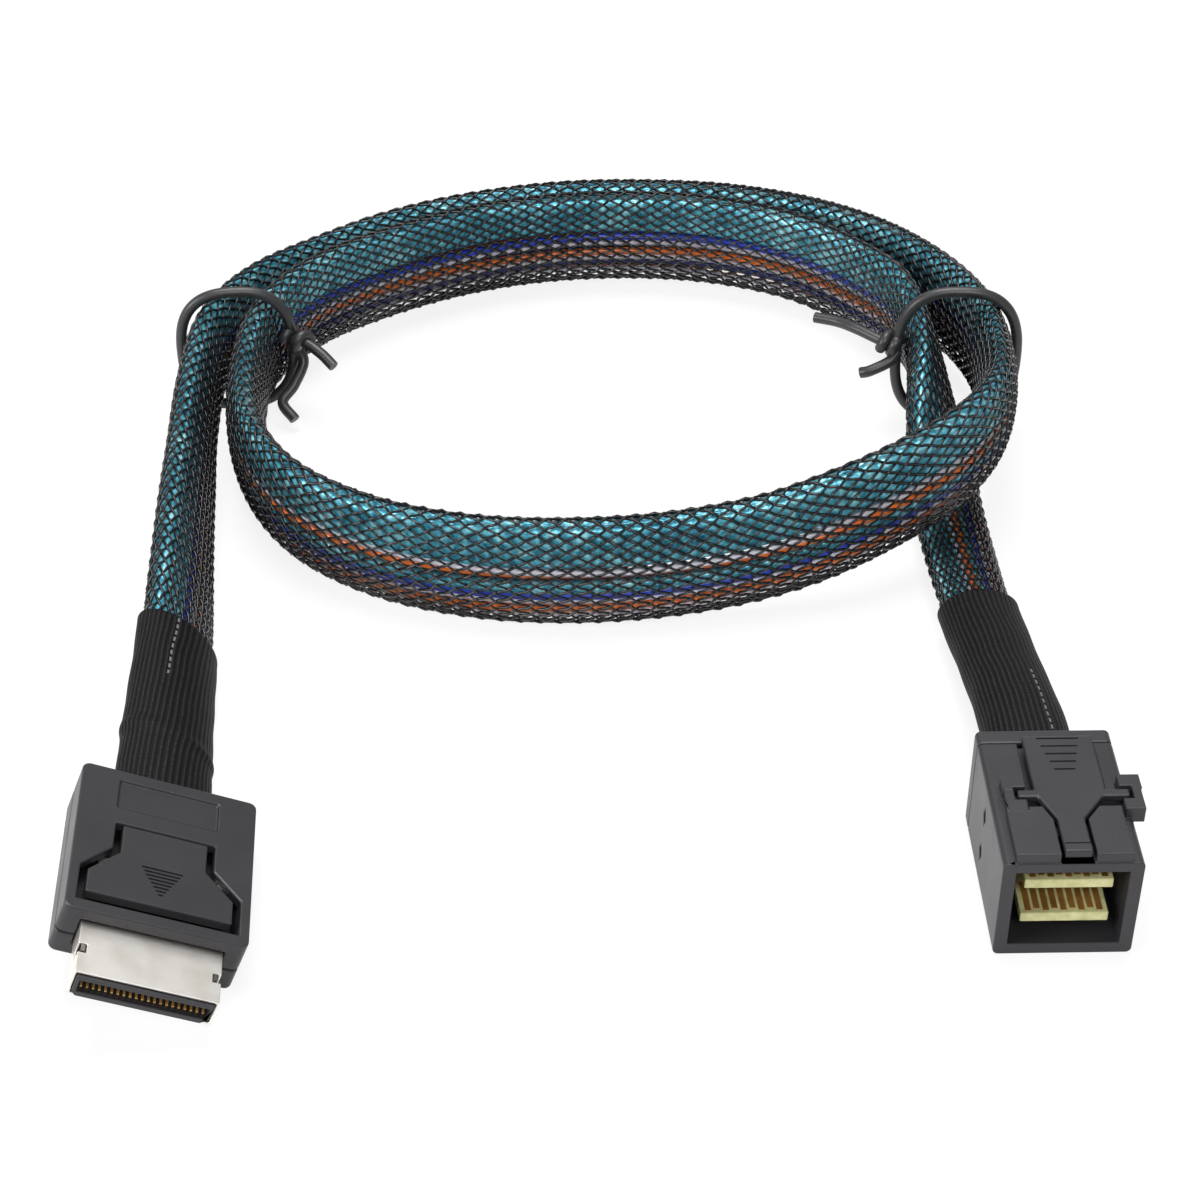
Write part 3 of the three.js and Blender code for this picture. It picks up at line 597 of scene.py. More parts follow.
def tube(name: str, steps: int, sides: int, place: Callable[[float, float], Point]) -> Mesh:
    """Closed tube bent from a grid.

    Args:
        name: the mesh's name.
        steps: number of steps along it.
        sides: number of sides round it.
        place: gives the point in metres at a share of its length and a share of the way round.

    Returns:
        The mesh, whose UV map holds the two shares.
    """
    bm = bmesh.new()
    bm.loops.layers.uv.new("UVMap")
    bmesh.ops.create_grid(bm, x_segments=steps, y_segments=sides, size=0.5, calc_uvs=True)
    for vertex in bm.verts:
        vertex.co = place(vertex.co.x + 0.5, vertex.co.y + 0.5)
    bmesh.ops.remove_doubles(bm, verts=bm.verts, dist=1e-7)
    rims = [edge for edge in bm.edges if edge.is_boundary]
    bmesh.ops.holes_fill(bm, edges=rims, sides=0)
    bmesh.ops.recalc_face_normals(bm, faces=bm.faces)
    return mesh_of(bm, name, True)


def rod_along(name: str, lines: Sequence[np.ndarray], radius: float, roundness: int) -> Mesh:
    """Round rods along lines of points, as one mesh.

    Args:
        name: the mesh's name.
        lines: the points of each rod in metres.
        radius: the rods' radius in metres.
        roundness: how finely they are rounded, 0 for four sides.

    Returns:
        The mesh.
    """
    curve = bpy.data.curves.new(name, "CURVE")
    curve.dimensions = "3D"
    curve.bevel_depth = radius
    curve.bevel_resolution = roundness
    curve.use_fill_caps = True
    for line in lines:
        spline = curve.splines.new("POLY")
        spline.points.add(len(line) - 1)
        rows = np.ones((len(line), 4))
        rows[:, :3] = line
        spline.points.foreach_set("co", rows.ravel())
        spline.use_smooth = True
    holder = bpy.data.objects.new(name, curve)
    mesh = bpy.data.meshes.new_from_object(holder)
    bpy.data.objects.remove(holder)
    bpy.data.curves.remove(curve)
    mesh.name = name
    return mesh


def spline_points(points: np.ndarray, places: np.ndarray) -> np.ndarray:
    """Smooth curve through evenly counted points.

    Args:
        points: rows of numbers that the curve passes through.
        places: places along it, counted in points.

    Returns:
        One row for each place.
    """
    first = 2 * points[0] - points[1]
    last = 2 * points[-1] - points[-2]
    padded = np.vstack([first, points, last])
    index = np.clip(np.floor(places).astype(int), 0, len(points) - 2)
    t = (places - index)[:, None]
    a, b, c, d = (padded[index + k] for k in range(4))
    return b + 0.5 * t * (c - a + t * (2 * a - 5 * b + 4 * c - d + t * (3 * (b - c) + d - a)))


def unit(rows: np.ndarray) -> np.ndarray:
    """Rows turned to length 1."""
    return rows / np.linalg.norm(rows, axis=1, keepdims=True)


class CableRoute:
    """Line, width direction and section of the flat cable along its whole length."""

    SAMPLES = 4000
    RING = 96
    PROBE = 0.002

    def __init__(self) -> None:
        """Measures the route."""
        table = np.array(STATIONS)
        self.points = table[:, :3] + [0.0, ROW_SHIFT, 0.0]
        self.section = table[:, 3:]
        self.last = len(table) - 1
        self.fine = np.linspace(0, self.last, self.SAMPLES)
        line = spline_points(self.points, self.fine)
        steps = np.linalg.norm(np.diff(line, axis=0), axis=1)
        self.reach = np.concatenate([[0.0], np.cumsum(steps)])

    def distance(self, station: float) -> float:
        """Length in mm along the cable up to a station."""
        return float(np.interp(station, self.fine, self.reach))

    def frames(self, lengths: np.ndarray) -> tuple[np.ndarray, ...]:
        """Frames of the cable at lengths along it.

        Args:
            lengths: lengths from the flat plug's end in mm.

        Returns:
            Middles, width directions, outward directions, half widths and half thicknesses.
        """
        places = np.interp(lengths, self.reach, self.fine)
        middle = spline_points(self.points, places)
        ahead = spline_points(self.points, np.minimum(places + self.PROBE, self.last))
        behind = spline_points(self.points, np.maximum(places - self.PROBE, 0.0))
        tangent = unit(ahead - behind)
        rise = unit(np.array([0.0, 0.0, 1.0]) - tangent * tangent[:, 2:3])
        inward = np.cross(tangent, rise)
        size = spline_points(self.section, places)
        lean = np.radians(size[:, :1])
        across = rise * np.cos(lean) + inward * np.sin(lean)
        outward = rise * np.sin(lean) - inward * np.cos(lean)
        return middle, across, outward, size[:, 1] / 2, size[:, 2] / 2

    def line(self, lengths: np.ndarray, across: np.ndarray, through: np.ndarray) -> np.ndarray:
        """Points in metres at shares of the half width and half thickness.

        Args:
            lengths: lengths along the cable in mm.
            across: share of the half width at each length.
            through: share of the half thickness at each length.

        Returns:
            One point for each length.
        """
        middle, wide, out, half_width, half_thick = self.frames(lengths)
        offset = wide * (across * half_width)[:, None] + out * (through * half_thick)[:, None]
        return (middle + offset) * MM


@dataclass
class BraidedSleeve:
    """See-through sleeve braided from black monofilament, all sizes in mm."""

    route: CableRoute
    start: float = 2.1
    end: float = 49.2
    strands: int = 24
    strand_radius: float = 0.15
    weave: float = 0.12
    inset: float = 0.24
    diamond: float = 1.9
    samples: int = 4
    path_step: float = 2.0

    def span(self) -> tuple[float, float]:
        """Lengths in mm at which the sleeve starts and ends."""
        return self.route.distance(self.start), self.route.distance(self.end)

    def family(self, turn: Turn) -> list[np.ndarray]:
        """Strands that wind one way round.

        Args:
            turn: the way round.

        Returns:
            The points of each strand in metres.
        """
        first, last = self.span()
        count = int((last - first) / self.diamond * self.samples)
        lengths = np.linspace(first, last, count)
        middle, across, out, half_width, half_thick = self.route.frames(lengths)
        lift = turn.value * self.weave * np.cos(2 * np.pi * (lengths - first) / self.diamond)
        wide = half_width - self.inset + lift
        thick = half_thick - self.inset + lift
        angles = np.linspace(0, 2 * np.pi, CableRoute.RING)
        rings = np.stack([np.cos(angles) * wide[:, None], np.sin(angles) * thick[:, None]], axis=2)
        sides = np.linalg.norm(np.diff(rings, axis=1), axis=2)
        around = np.concatenate([np.zeros((count, 1)), np.cumsum(sides, axis=1)], axis=1)
        around /= around[:, -1:]
        winding = turn.value * (lengths - first) / (self.diamond * self.strands)
        lines = []
        for strand in range(self.strands):
            share = (strand / self.strands + winding) % 1.0
            angle = np.array([np.interp(s, ring, angles) for s, ring in zip(share, around)])
            offset = across * (wide * np.cos(angle))[:, None] + out * (thick * np.sin(angle))[:, None]
            lines.append((middle + offset) * MM)
        return lines

    def build(self, look: Material) -> list[Object]:
        """Builds the two strand families.

        Args:
            look: the strands' material.

        Returns:
            The family that stands for the CAD sleeve, and the other one.
        """
        pieces = []
        for turn, nodes in ((Turn.RIGHT, ("cable_sleeve",)), (Turn.LEFT, ())):
            name = f"braid_strands_{turn.name.lower()}"
            mesh = rod_along(name, self.family(turn), self.strand_radius * MM, 0)
            pieces.append(finished(name, mesh, look, Body.CABLE, Slot.BRAID, nodes))
        return pieces

    def declare(self) -> None:
        first, last = self.span()
        lengths = np.arange(first, last, self.path_step)
        none = np.zeros(len(lengths))
        path = self.route.line(lengths, none, none)
        tuple(path[0])
        [tuple(point) for point in path]


@dataclass(frozen=True)
class Conductor:
    """One wire inside the sleeve: middle in shares of the half sizes, radius in mm."""

    node: str
    across: float
    through: float
    radius: float
    finish: Slot
    wander: float
    phase: float
    stands_in: bool = True


CONDUCTORS = (
    Conductor("side_wire_white_outer", 0.125, 0.56, 0.38, Slot.WHITE, 0.03, 0.4),
    Conductor("side_wire_orange_outer", -0.005, 0.5, 0.42, Slot.ORANGE, 0.05, 2.1),
    Conductor("side_wire_blue_outer", -0.38, 0.42, 0.46, Slot.BLUE, 0.03, 3.9),
    Conductor("side_wire_white_middle", -0.505, 0.36, 0.3, Slot.WHITE, 0.03, 3.5, False),
    Conductor("side_wire_orange_low", -0.62, 0.26, 0.4, Slot.ORANGE, 0.03, 5.2),
    Conductor("side_wire_white_low", -0.755, 0.08, 0.36, Slot.WHITE, 0.025, 5.6, False),
    Conductor("side_wire_blue_inner", 0.1, -0.5, 0.46, Slot.BLUE, 0.03, 1.3),
    Conductor("side_wire_white_inner", -0.06, -0.52, 0.36, Slot.WHITE, 0.03, 2.9),
    Conductor("side_wire_orange_inner", -0.21, -0.5, 0.42, Slot.ORANGE, 0.035, 0.9),
    Conductor("side_wire_white_edge", -0.36, -0.44, 0.34, Slot.WHITE, 0.03, 1.1, False),
    Conductor("side_wire_navy_inner", -0.51, -0.36, 0.46, Slot.NAVY, 0.03, 4.4),
)


@dataclass
class WireBundle:
    """Twinax ribbons, the loose pair and the side wires inside the sleeve."""

    route: CableRoute
    step: float = 1.1
    start: float = 9.0
    pairs: int = 4
    lobe: float = 0.11
    ribbon_from: float = 0.2
    ribbon_to: float = 0.865
    ribbon_outer: float = 0.74
    ribbon_depth: float = 0.46
    pair_from: float = -0.3
    pair_to: float = -0.09
    edge_power: float = 0.55
    sway: float = 0.012
    sway_length: float = 17.0
    ripple: float = 0.006
    ripple_length: float = 5.1
    bend_length: float = 23.0
    kink_length: float = 9.0
    lift: float = 0.05
    lift_length: float = 13.0

    def _steps(self) -> int:
        """Number of steps along the cable."""
        return int((self.route.reach[-1] - self.start) / self.step)

    def strip(self, name: str, side: int, edges: tuple[float, float], pairs: int) -> Mesh:
        """Strip of wrapped pairs that lies against one face of the sleeve.

        Args:
            name: the mesh's name.
            side: 1 on the outer face, -1 on the inner one.
            edges: the strip's two edges as shares of the half width.
            pairs: how many pairs it holds.

        Returns:
            The mesh.
        """
        steps = self._steps()
        lengths = np.linspace(self.start, self.route.reach[-1], steps + 1)
        middle, across, out, half_width, half_thick = self.route.frames(lengths)
        low, high = edges
        sides = 2 * (4 * pairs + 2)

        def place(share: float, around: float) -> Point:
            """Point on the strip's skin."""
            i = min(int(round(share * steps)), steps)
            angle = 2 * math.pi * around
            reach = math.copysign(abs(math.cos(angle)) ** self.edge_power, math.cos(angle))
            x = low + (high - low) * (reach + 1) / 2
            bulge = abs(math.sin(math.pi * pairs * (x - low) / (high - low)))
            outer = self.ribbon_outer * math.sqrt(1 - min(x * x, 0.97)) - self.lobe * (1 - bulge) ** 2
            waist = self.ribbon_depth * (0.5 if abs(reach) > 0.99 else 1.0)
            lift = math.copysign(min(1.0, abs(math.sin(angle)) * 3), math.sin(angle))
            y = side * (outer - waist * (1 - lift) / 2)
            sway = self.sway * math.sin(lengths[i] / self.sway_length + side)
            sway += self.ripple * math.sin(lengths[i] / self.ripple_length)
            spot = middle[i] + across[i] * (x + sway) * half_width[i] + out[i] * y * half_thick[i]
            return spot * MM

        return tube(name, steps, sides, place)

    def wire(self, item: Conductor) -> Mesh:
        """Round wire that wanders a little on its way.

        Args:
            item: the wire.

        Returns:
            The mesh.
        """
        lengths = np.linspace(self.start, self.route.reach[-1], self._steps() + 1)
        sway = np.sin(lengths / self.bend_length + item.phase)
        sway += 0.5 * np.sin(lengths / self.kink_length + 2 * item.phase)
        across = item.across + item.wander * sway
        through = item.through + self.lift * np.sin(lengths / self.lift_length + item.phase)
        return rod_along(item.node, [self.route.line(lengths, across, through)], item.radius * MM, 1)

    def build(self, looks: Looks) -> list[Object]:
        """Builds all that runs inside the sleeve.

        Args:
            looks: the materials by slot.

        Returns:
            The pieces.
        """
        ribbon = (self.ribbon_from, self.ribbon_to)
        pair = (self.pair_from, self.pair_to)
        strips = (
            ("twinax_ribbon_outer", 1, ribbon, self.pairs),
            ("twinax_ribbon_inner", -1, ribbon, self.pairs),
            ("side_pair_teal_outer", 1, pair, 1),
        )
        pieces = []
        for node, side, edges, pairs in strips:
            name = f"{node}_wrapped"
            mesh = self.strip(name, side, edges, pairs)
            pieces.append(finished(name, mesh, looks[Slot.FOIL], Body.CABLE, Slot.FOIL, (node,)))
        for item in CONDUCTORS:
            name = f"{item.node}_core"
            look = looks[item.finish]
            nodes = (item.node,) if item.stands_in else ()
            pieces.append(finished(name, self.wire(item), look, Body.CABLE, item.finish, nodes))
        return pieces


@dataclass
class TapeWrap:
    """Cloth tape wound round one end of the sleeve, sizes in mm."""

    route: CableRoute
    node: str
    start: float
    end: float
    gap: float = 0.15
    sheet: float = 0.38
    puff: float = 0.16
    folds: tuple[float, ...] = (0.3,)
    fold_width: float = 0.03
    fold_slant: float = 0.05
    turned_in: float = 0.5
    rim: int = 3
    sides: int = 64
    step: float = 0.22

    def mesh(self) -> Mesh:
        """Builds the wrap: a wrinkled tube whose two rims turn in to the sleeve."""
        first = self.route.distance(self.start)
        last = self.route.distance(self.end)
        steps = int((last - first) / self.step)
        flat = steps - 2 * self.rim
        inner = np.clip(np.arange(steps + 1) - self.rim, 0, flat) / flat
        lengths = first + (last - first) * inner
        middle, across, out, half_width, half_thick = self.route.frames(lengths)

        def place(share: float, around: float) -> Point:
            """Point on the tape."""
            i = min(int(round(share * steps)), steps)
            angle = 2 * math.pi * around
            turned = min(i, steps - i) / self.rim
            grow = self.gap + self.sheet * min(1.0, turned) - (self.turned_in if turned < 0.5 else 0.0)
            run = inner[i]
            wave = math.sin(angle * 3 + run * 9) * math.sin(run * 14 + angle)
            slant = self.fold_slant * math.cos(angle)
            fold = sum(math.exp(-(((run - spot - slant) / self.fold_width) ** 2)) for spot in self.folds)
            grow += self.puff * (0.35 * wave + fold) * min(1.0, turned / 2)
            spot = middle[i] + across[i] * math.cos(angle) * (half_width[i] + grow)
            return (spot + out[i] * math.sin(angle) * (half_thick[i] + grow)) * MM

        return tube(f"{self.node}_cloth", steps, self.sides, place)

    def build(self) -> Object:
        """Builds and dresses the wrap."""
        length = (self.route.distance(self.end) - self.route.distance(self.start)) * MM
        look = ClothTape(f"{self.node}_cloth", length).material()
        name = f"{self.node}_cloth"
        return finished(name, self.mesh(), look, Body.CABLE, Slot.TAPE, (self.node,))


@dataclass(frozen=True)
class TwistTie:
    """Coated wire tie: a loop round both turns and two free ends, sizes in mm."""

    node: str
    middle: Triple
    turn: float
    half_across: float
    half_high: float
    ends: tuple[tuple[Triple, ...], ...]
    radius: float = 0.6
    squareness: float = 2.6
    loop_steps: int = 96
    end_steps: int = 14
    twist_turns: float = 1.6
    twist_reach: float = 0.85
    twist_steps: int = 60

    def _lines(self) -> list[np.ndarray]:
        """Loop and ends as lines of points in the tie's own axes."""
        angles = np.linspace(0, 2 * np.pi, self.loop_steps + 1)
        power = 2 / self.squareness
        x = self.half_across * np.sign(np.cos(angles)) * np.abs(np.cos(angles)) ** power
        z = self.half_high * np.sign(np.sin(angles)) * np.abs(np.sin(angles)) ** power
        lines = [np.stack([x, 0 * x, z], axis=1)]
        for points in self.ends:
            table = np.array(points)
            places = np.linspace(0, len(table) - 1, self.end_steps * (len(table) - 1))
            lines.append(spline_points(table, places))
        lines.append(self._twist())
        return lines

    def _twist(self) -> np.ndarray:
        """Turns of the second end round the first one."""
        first = np.array(self.ends[0][0])
        last = np.array(self.ends[0][1])
        aim = (last - first) / np.linalg.norm(last - first)
        side = np.cross(aim, [0.0, 0.0, 1.0])
        side /= np.linalg.norm(side)
        up = np.cross(side, aim)
        share = np.linspace(0.0, 1.0, self.twist_steps)[:, None]
        angle = share * self.twist_turns * 2 * np.pi
        ring = side * np.cos(angle) + up * np.sin(angle)
        return first + (last - first) * (share * 1.2 - 0.1) + ring * self.twist_reach

    def build(self, look: Material) -> Object:
        """Builds and dresses the tie."""
        matrix = np.array(Matrix.Rotation(math.radians(self.turn), 3, "Z"))
        place = np.array(self.middle) + [0.0, ROW_SHIFT, 0.0]
        lines = [(line @ matrix.T + place) * MM for line in self._lines()]
        mesh = rod_along(f"{self.node}_coated", lines, self.radius * MM, 3)
        return finished(f"{self.node}_coated", mesh, look, Body.CABLE, Slot.RUBBER, (self.node,))


LEFT_TIE = TwistTie(
    "tie_left",
    (-76.6, 86.0, 7.68),
    6.0,
    6.0,
    7.05,
    (
        ((5.6, 0.0, 1.0), (7.4, -1.2, 0.9), (9.0, -2.6, 0.2), (10.2, -4.0, -0.6)),
        ((5.6, 0.0, 0.2), (7.0, -0.6, -1.6), (5.8, -2.4, -3.6), (4.4, -3.6, -5.0), (5.6, -5.2, -6.3)),
    ),
)
RIGHT_TIE = TwistTie(
    "tie_right",
    (1.15, 81.6, 8.52),
    -3.0,
    6.45,
    7.9,
    (
        ((-6.25, 0.0, 1.2), (-7.8, 0.4, 1.4), (-10.6, 2.6, 1.6), (-12.6, 4.4, 1.4), (-15.0, 5.6, 1.2)),
        ((-6.25, 0.0, 0.4), (-7.2, -0.8, -0.4), (-9.2, -1.4, -1.2), (-10.2, -1.2, -1.6)),
    ),
)


@dataclass(frozen=True)
class Spared:
    """Box, in a plug's own axes and in mm, whose fine edges are left sharp."""

    axes: Matrix
    low: Triple
    high: Triple

    def holds(self, edge: BMEdge) -> bool:
        """Whether an edge lies wholly in the box."""
        back = self.axes.inverted()
        ends = [(back @ vertex.co) / MM for vertex in edge.verts]
        return all(low < v < high for end in ends for low, v, high in zip(self.low, end, self.high))


def bevelled(bm: BMesh, edges: list[BMEdge], width: float) -> None:
    """Rounds edges by a width in mm."""
    bmesh.ops.bevel(
        bm,
        geom=edges,
        offset=width * MM,
        offset_type="OFFSET",
        affect="EDGES",
        segments=2,
        profile=0.5,
        material=-1,
        clamp_overlap=False,
    )


def softened(node: str, width: float, spared: Spared) -> Mesh:
    """Copy of a CAD node with merged faces and rounded edges.

    Args:
        node: the CAD node.
        width: width of the rounding in mm.
        spared: where edges stay sharp.

    Returns:
        The mesh.
    """
    bm = bmesh.new()
    bm.from_mesh(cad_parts[node].data)
    bmesh.ops.remove_doubles(bm, verts=bm.verts, dist=1e-6)
    bmesh.ops.dissolve_limit(bm, angle_limit=FLAT_ANGLE, verts=bm.verts, edges=bm.edges)
    sharp = [
        edge
        for edge in bm.edges
        if len(edge.link_faces) == 2
        and edge.calc_face_angle(0.0) > SHARP_ANGLE
        and not spared.holds(edge)
    ]
    bevelled(bm, sharp, width)
    return mesh_of(bm, f"{node}_moulded", False)


def moulded(rows: Iterable[tuple], looks: Looks, spared: Spared) -> list[Object]:
    """Pieces that are softened copies of CAD nodes.

    Args:
        rows: node, rounding in mm, body and slot of each.
        looks: the materials by slot.
        spared: where edges stay sharp.

    Returns:
        The pieces.
    """
    pieces = []
    for node, width, body, slot in rows:
        mesh = softened(node, width, spared)
        pieces.append(finished(f"{node}_moulded", mesh, looks[slot], body, slot, (node,)))
    return pieces


def block(bm: BMesh, low: Triple, high: Triple, rounding: float = 0.0) -> None:
    """Adds a box between two corners in mm, its edges rounded.

    Args:
        bm: the bmesh that it joins.
        low: lowest corner.
        high: highest corner.
        rounding: width of the rounding.
    """
    cube = bmesh.ops.create_cube(bm, size=1.0)["verts"]
    span = Vector(high) - Vector(low)
    middle = (Vector(high) + Vector(low)) / 2
    bmesh.ops.scale(bm, verts=cube, vec=span * MM)
    bmesh.ops.translate(bm, verts=cube, vec=middle * MM)
    if rounding:
        bevelled(bm, list({edge for vertex in cube for edge in vertex.link_edges}), rounding)


@dataclass
class FlatPlug:
    """Flat shielded plug: casing halves, release tab, shell, nose and contacts."""

    yaw: float = 3.0
    roll: float = 22.4
    front: Triple = (-75.6, -3.3, 5.338)
    arrow_box: tuple[Triple, ...] = ((-1.9, 3.0, 2.3), (1.9, 7.0, 2.7))
    # Near-black plate under the tab, painted shade: half width, front, back, height and thickness in mm.
    painted_shade_plate: tuple[float, ...] = (6.5, 1.1, 11.9, 0.5, 0.14)
    hook_place: Triple = (5.48, -2.9, 1.31)
    hook: Triple = (0.34, 0.34, 0.12)
    hook_slope: float = 0.05
    rounding: float = 0.03

    def axes(self) -> Matrix:
        """Turn and place of the plug's own axes, in metres."""
        turn = Matrix.Rotation(math.radians(self.yaw), 4, "Z") @ Matrix.Rotation(
            math.radians(self.roll), 4, "Y"
        )
        x, y, z = self.front
        return Matrix.Translation(Vector((x, y + ROW_SHIFT, z)) * MM) @ turn

    def build(self, looks: Looks) -> list[Object]:
        """Builds the plug's pieces.

        Args:
            looks: the materials by slot.

        Returns:
            The pieces.
        """
        rows = (
            ("oculink_top_cover", 0.14, Body.CABLE, Slot.PLASTIC),
            ("oculink_bottom_cover", 0.14, Body.CABLE, Slot.PLASTIC),
            ("oculink_release_tab", 0.13, Body.TAB, Slot.PLASTIC),
            ("oculink_latch_spring", 0.04, Body.TAB, Slot.NICKEL),
            ("oculink_metal_shell", 0.06, Body.CABLE, Slot.NICKEL),
            ("oculink_nose_insulator", 0.08, Body.CABLE, Slot.PLASTIC),
            ("oculink_contact_row", 0.03, Body.CABLE, Slot.GOLD),
            ("oculink_paddle_card", 0.05, Body.CABLE, Slot.BOARD),
        )
        pieces = moulded(rows, looks, Spared(self.axes(), *self.arrow_box))
        # Painted shade: a near-black plate under the tab darkens the slots round it.
        dark = MouldedPlastic("painted_shade_plastic", (0.003, 0.003, 0.0035), 0.5).material()
        painted_shade_plate = self.painted_shade_plate_mesh()
        pieces.append(finished("oculink_painted_shade_plate", painted_shade_plate, dark, Body.CABLE, Slot.PLASTIC))
        steel = PlatedMetal("hook_steel", (0.2, 0.18, 0.16), (0.08, 0.07, 0.06), 0.32).material()
        hooks = self.hook_mesh()
        pieces.append(finished("oculink_latch_hooks", hooks, steel, Body.CABLE, Slot.NICKEL))
        return pieces

    def painted_shade_plate_mesh(self) -> Mesh:
        """Near-black plate under the tab that covers the small card, as painted shade in the slots round the
        tab.
        """
        half, start, back, low, sheet = self.painted_shade_plate
        bm = bmesh.new()
        block(bm, (-half, start, low), (half, back, low + sheet), self.rounding)
        bmesh.ops.transform(bm, matrix=self.axes(), verts=bm.verts)
        return mesh_of(bm, "oculink_painted_shade_plate", False)

    def hook_mesh(self) -> Mesh:
        """Latch hooks that stand in the shell's two windows."""
        x, y, z = self.hook_place
        wide, long, high = self.hook
        bm = bmesh.new()
        for side in (-1, 1):
            low = (side * x - wide / 2, y - long, z - high / 2)
            block(bm, low, (side * x + wide / 2, y + long, z + high / 2), self.rounding)
            nose = [v for v in bm.verts if v.co.y < (y - long * 0.6) * MM and v.co.z > z * MM]
            bmesh.ops.translate(bm, verts=nose, vec=(0.0, 0.0, -self.hook_slope * MM))
        bmesh.ops.transform(bm, matrix=self.axes(), verts=bm.verts)
        return mesh_of(bm, "oculink_latch_hooks", False)


@dataclass
class TallPlug:
    """Tall two-card plug: housing, rear cap, latch lever, cards and their holder."""

    groove_box: tuple[Triple, ...] = ((-1.4, 2.5, 10.9), (3.0, 7.35, 11.4))
    pad_count: int = 9
    pad_pitch: float = 0.75
    pad_width: float = 0.52
    pad_start: float = 0.35
    pad_length: float = 3.4
    pad_height: float = 0.03
    pad_stagger: float = 0.25

    def build(self, looks: Looks) -> list[Object]:
        """Builds the plug's pieces.

        Args:
            looks: the materials by slot.

        Returns:
            The pieces.
        """
        rows = (
            ("sas_housing", 0.09, Body.CABLE, Slot.PLASTIC),
            ("sas_rear_cap", 0.2, Body.CABLE, Slot.PLASTIC),
            ("sas_latch_lever", 0.16, Body.LEVER, Slot.PLASTIC),
            ("sas_paddle_card_upper", 0.12, Body.CABLE, Slot.BOARD),
            ("sas_paddle_card_lower", 0.12, Body.CABLE, Slot.BOARD),
            ("sas_card_holder", 0.06, Body.CABLE, Slot.PLASTIC),
        )
        pieces = moulded(rows, looks, Spared(Matrix.Identity(4), *self.groove_box))
        brown_pad_plate = PAD_PLATE.material()
        for name in ("upper", "lower"):
            pads = self.pad_mesh(name)
            pieces.append(finished(f"sas_pads_{name}", pads, brown_pad_plate, Body.CABLE, Slot.GOLD))
        return pieces

    def pad_mesh(self, name: str) -> Mesh:
        """Contact pads on both faces of a card.

        Args:
            name: which card.

        Returns:
            The mesh.
        """
        low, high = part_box(f"sas_paddle_card_{name}")
        bm = bmesh.new()
        front = low.y / MM + self.pad_start
        for pad in range(self.pad_count):
            middle = (pad - (self.pad_count - 1) / 2) * self.pad_pitch
            left = middle - self.pad_width / 2
            right = middle + self.pad_width / 2
            for face in (high.z / MM, low.z / MM - self.pad_height):
                block(
                    bm,
                    (left, front + self.pad_stagger * (pad % 2), face),
                    (right, front + self.pad_length, face + self.pad_height),
                )
        return mesh_of(bm, f"sas_pads_{name}", False)


@dataclass(frozen=True)
class PhotoCamera:
    """Camera at the photograph's viewing angle."""

    place: Triple = (-41.746, -157.913, 151.5)
    pitch: float = 52.9
    heading: float = -1.12
    lens: float = 75.6
    sensor: float = 36.0

    def build(self) -> None:
        """Adds the camera and makes it the scene's own."""
        data = bpy.data.cameras.new("photo_camera")
        data.sensor_width = self.sensor
        data.lens = self.lens
        data.clip_start = 0.01
        camera = bpy.data.objects.new("photo_camera", data)
        camera.location = Vector(self.place) * MM
        camera.rotation_euler = (math.radians(self.pitch), 0.0, math.radians(self.heading))
        bpy.context.scene.collection.objects.link(camera)
        bpy.context.scene.camera = camera


@dataclass(frozen=True)
class Softbox:
    """Square studio lamp that faces a point."""

    name: str
    place: Triple
    target: Triple
    size: float
    power: float

    def build(self) -> None:
        """Adds the lamp."""
        data = bpy.data.lights.new(self.name, "AREA")
        data.shape = "SQUARE"
        data.size = self.size
        data.energy = self.power
        lamp = bpy.data.objects.new(self.name, data)
        lamp.location = self.place
        aim = Vector(self.target) - Vector(self.place)
        lamp.rotation_euler = aim.to_track_quat("-Z", "Y").to_euler()
        bpy.context.scene.collection.objects.link(lamp)


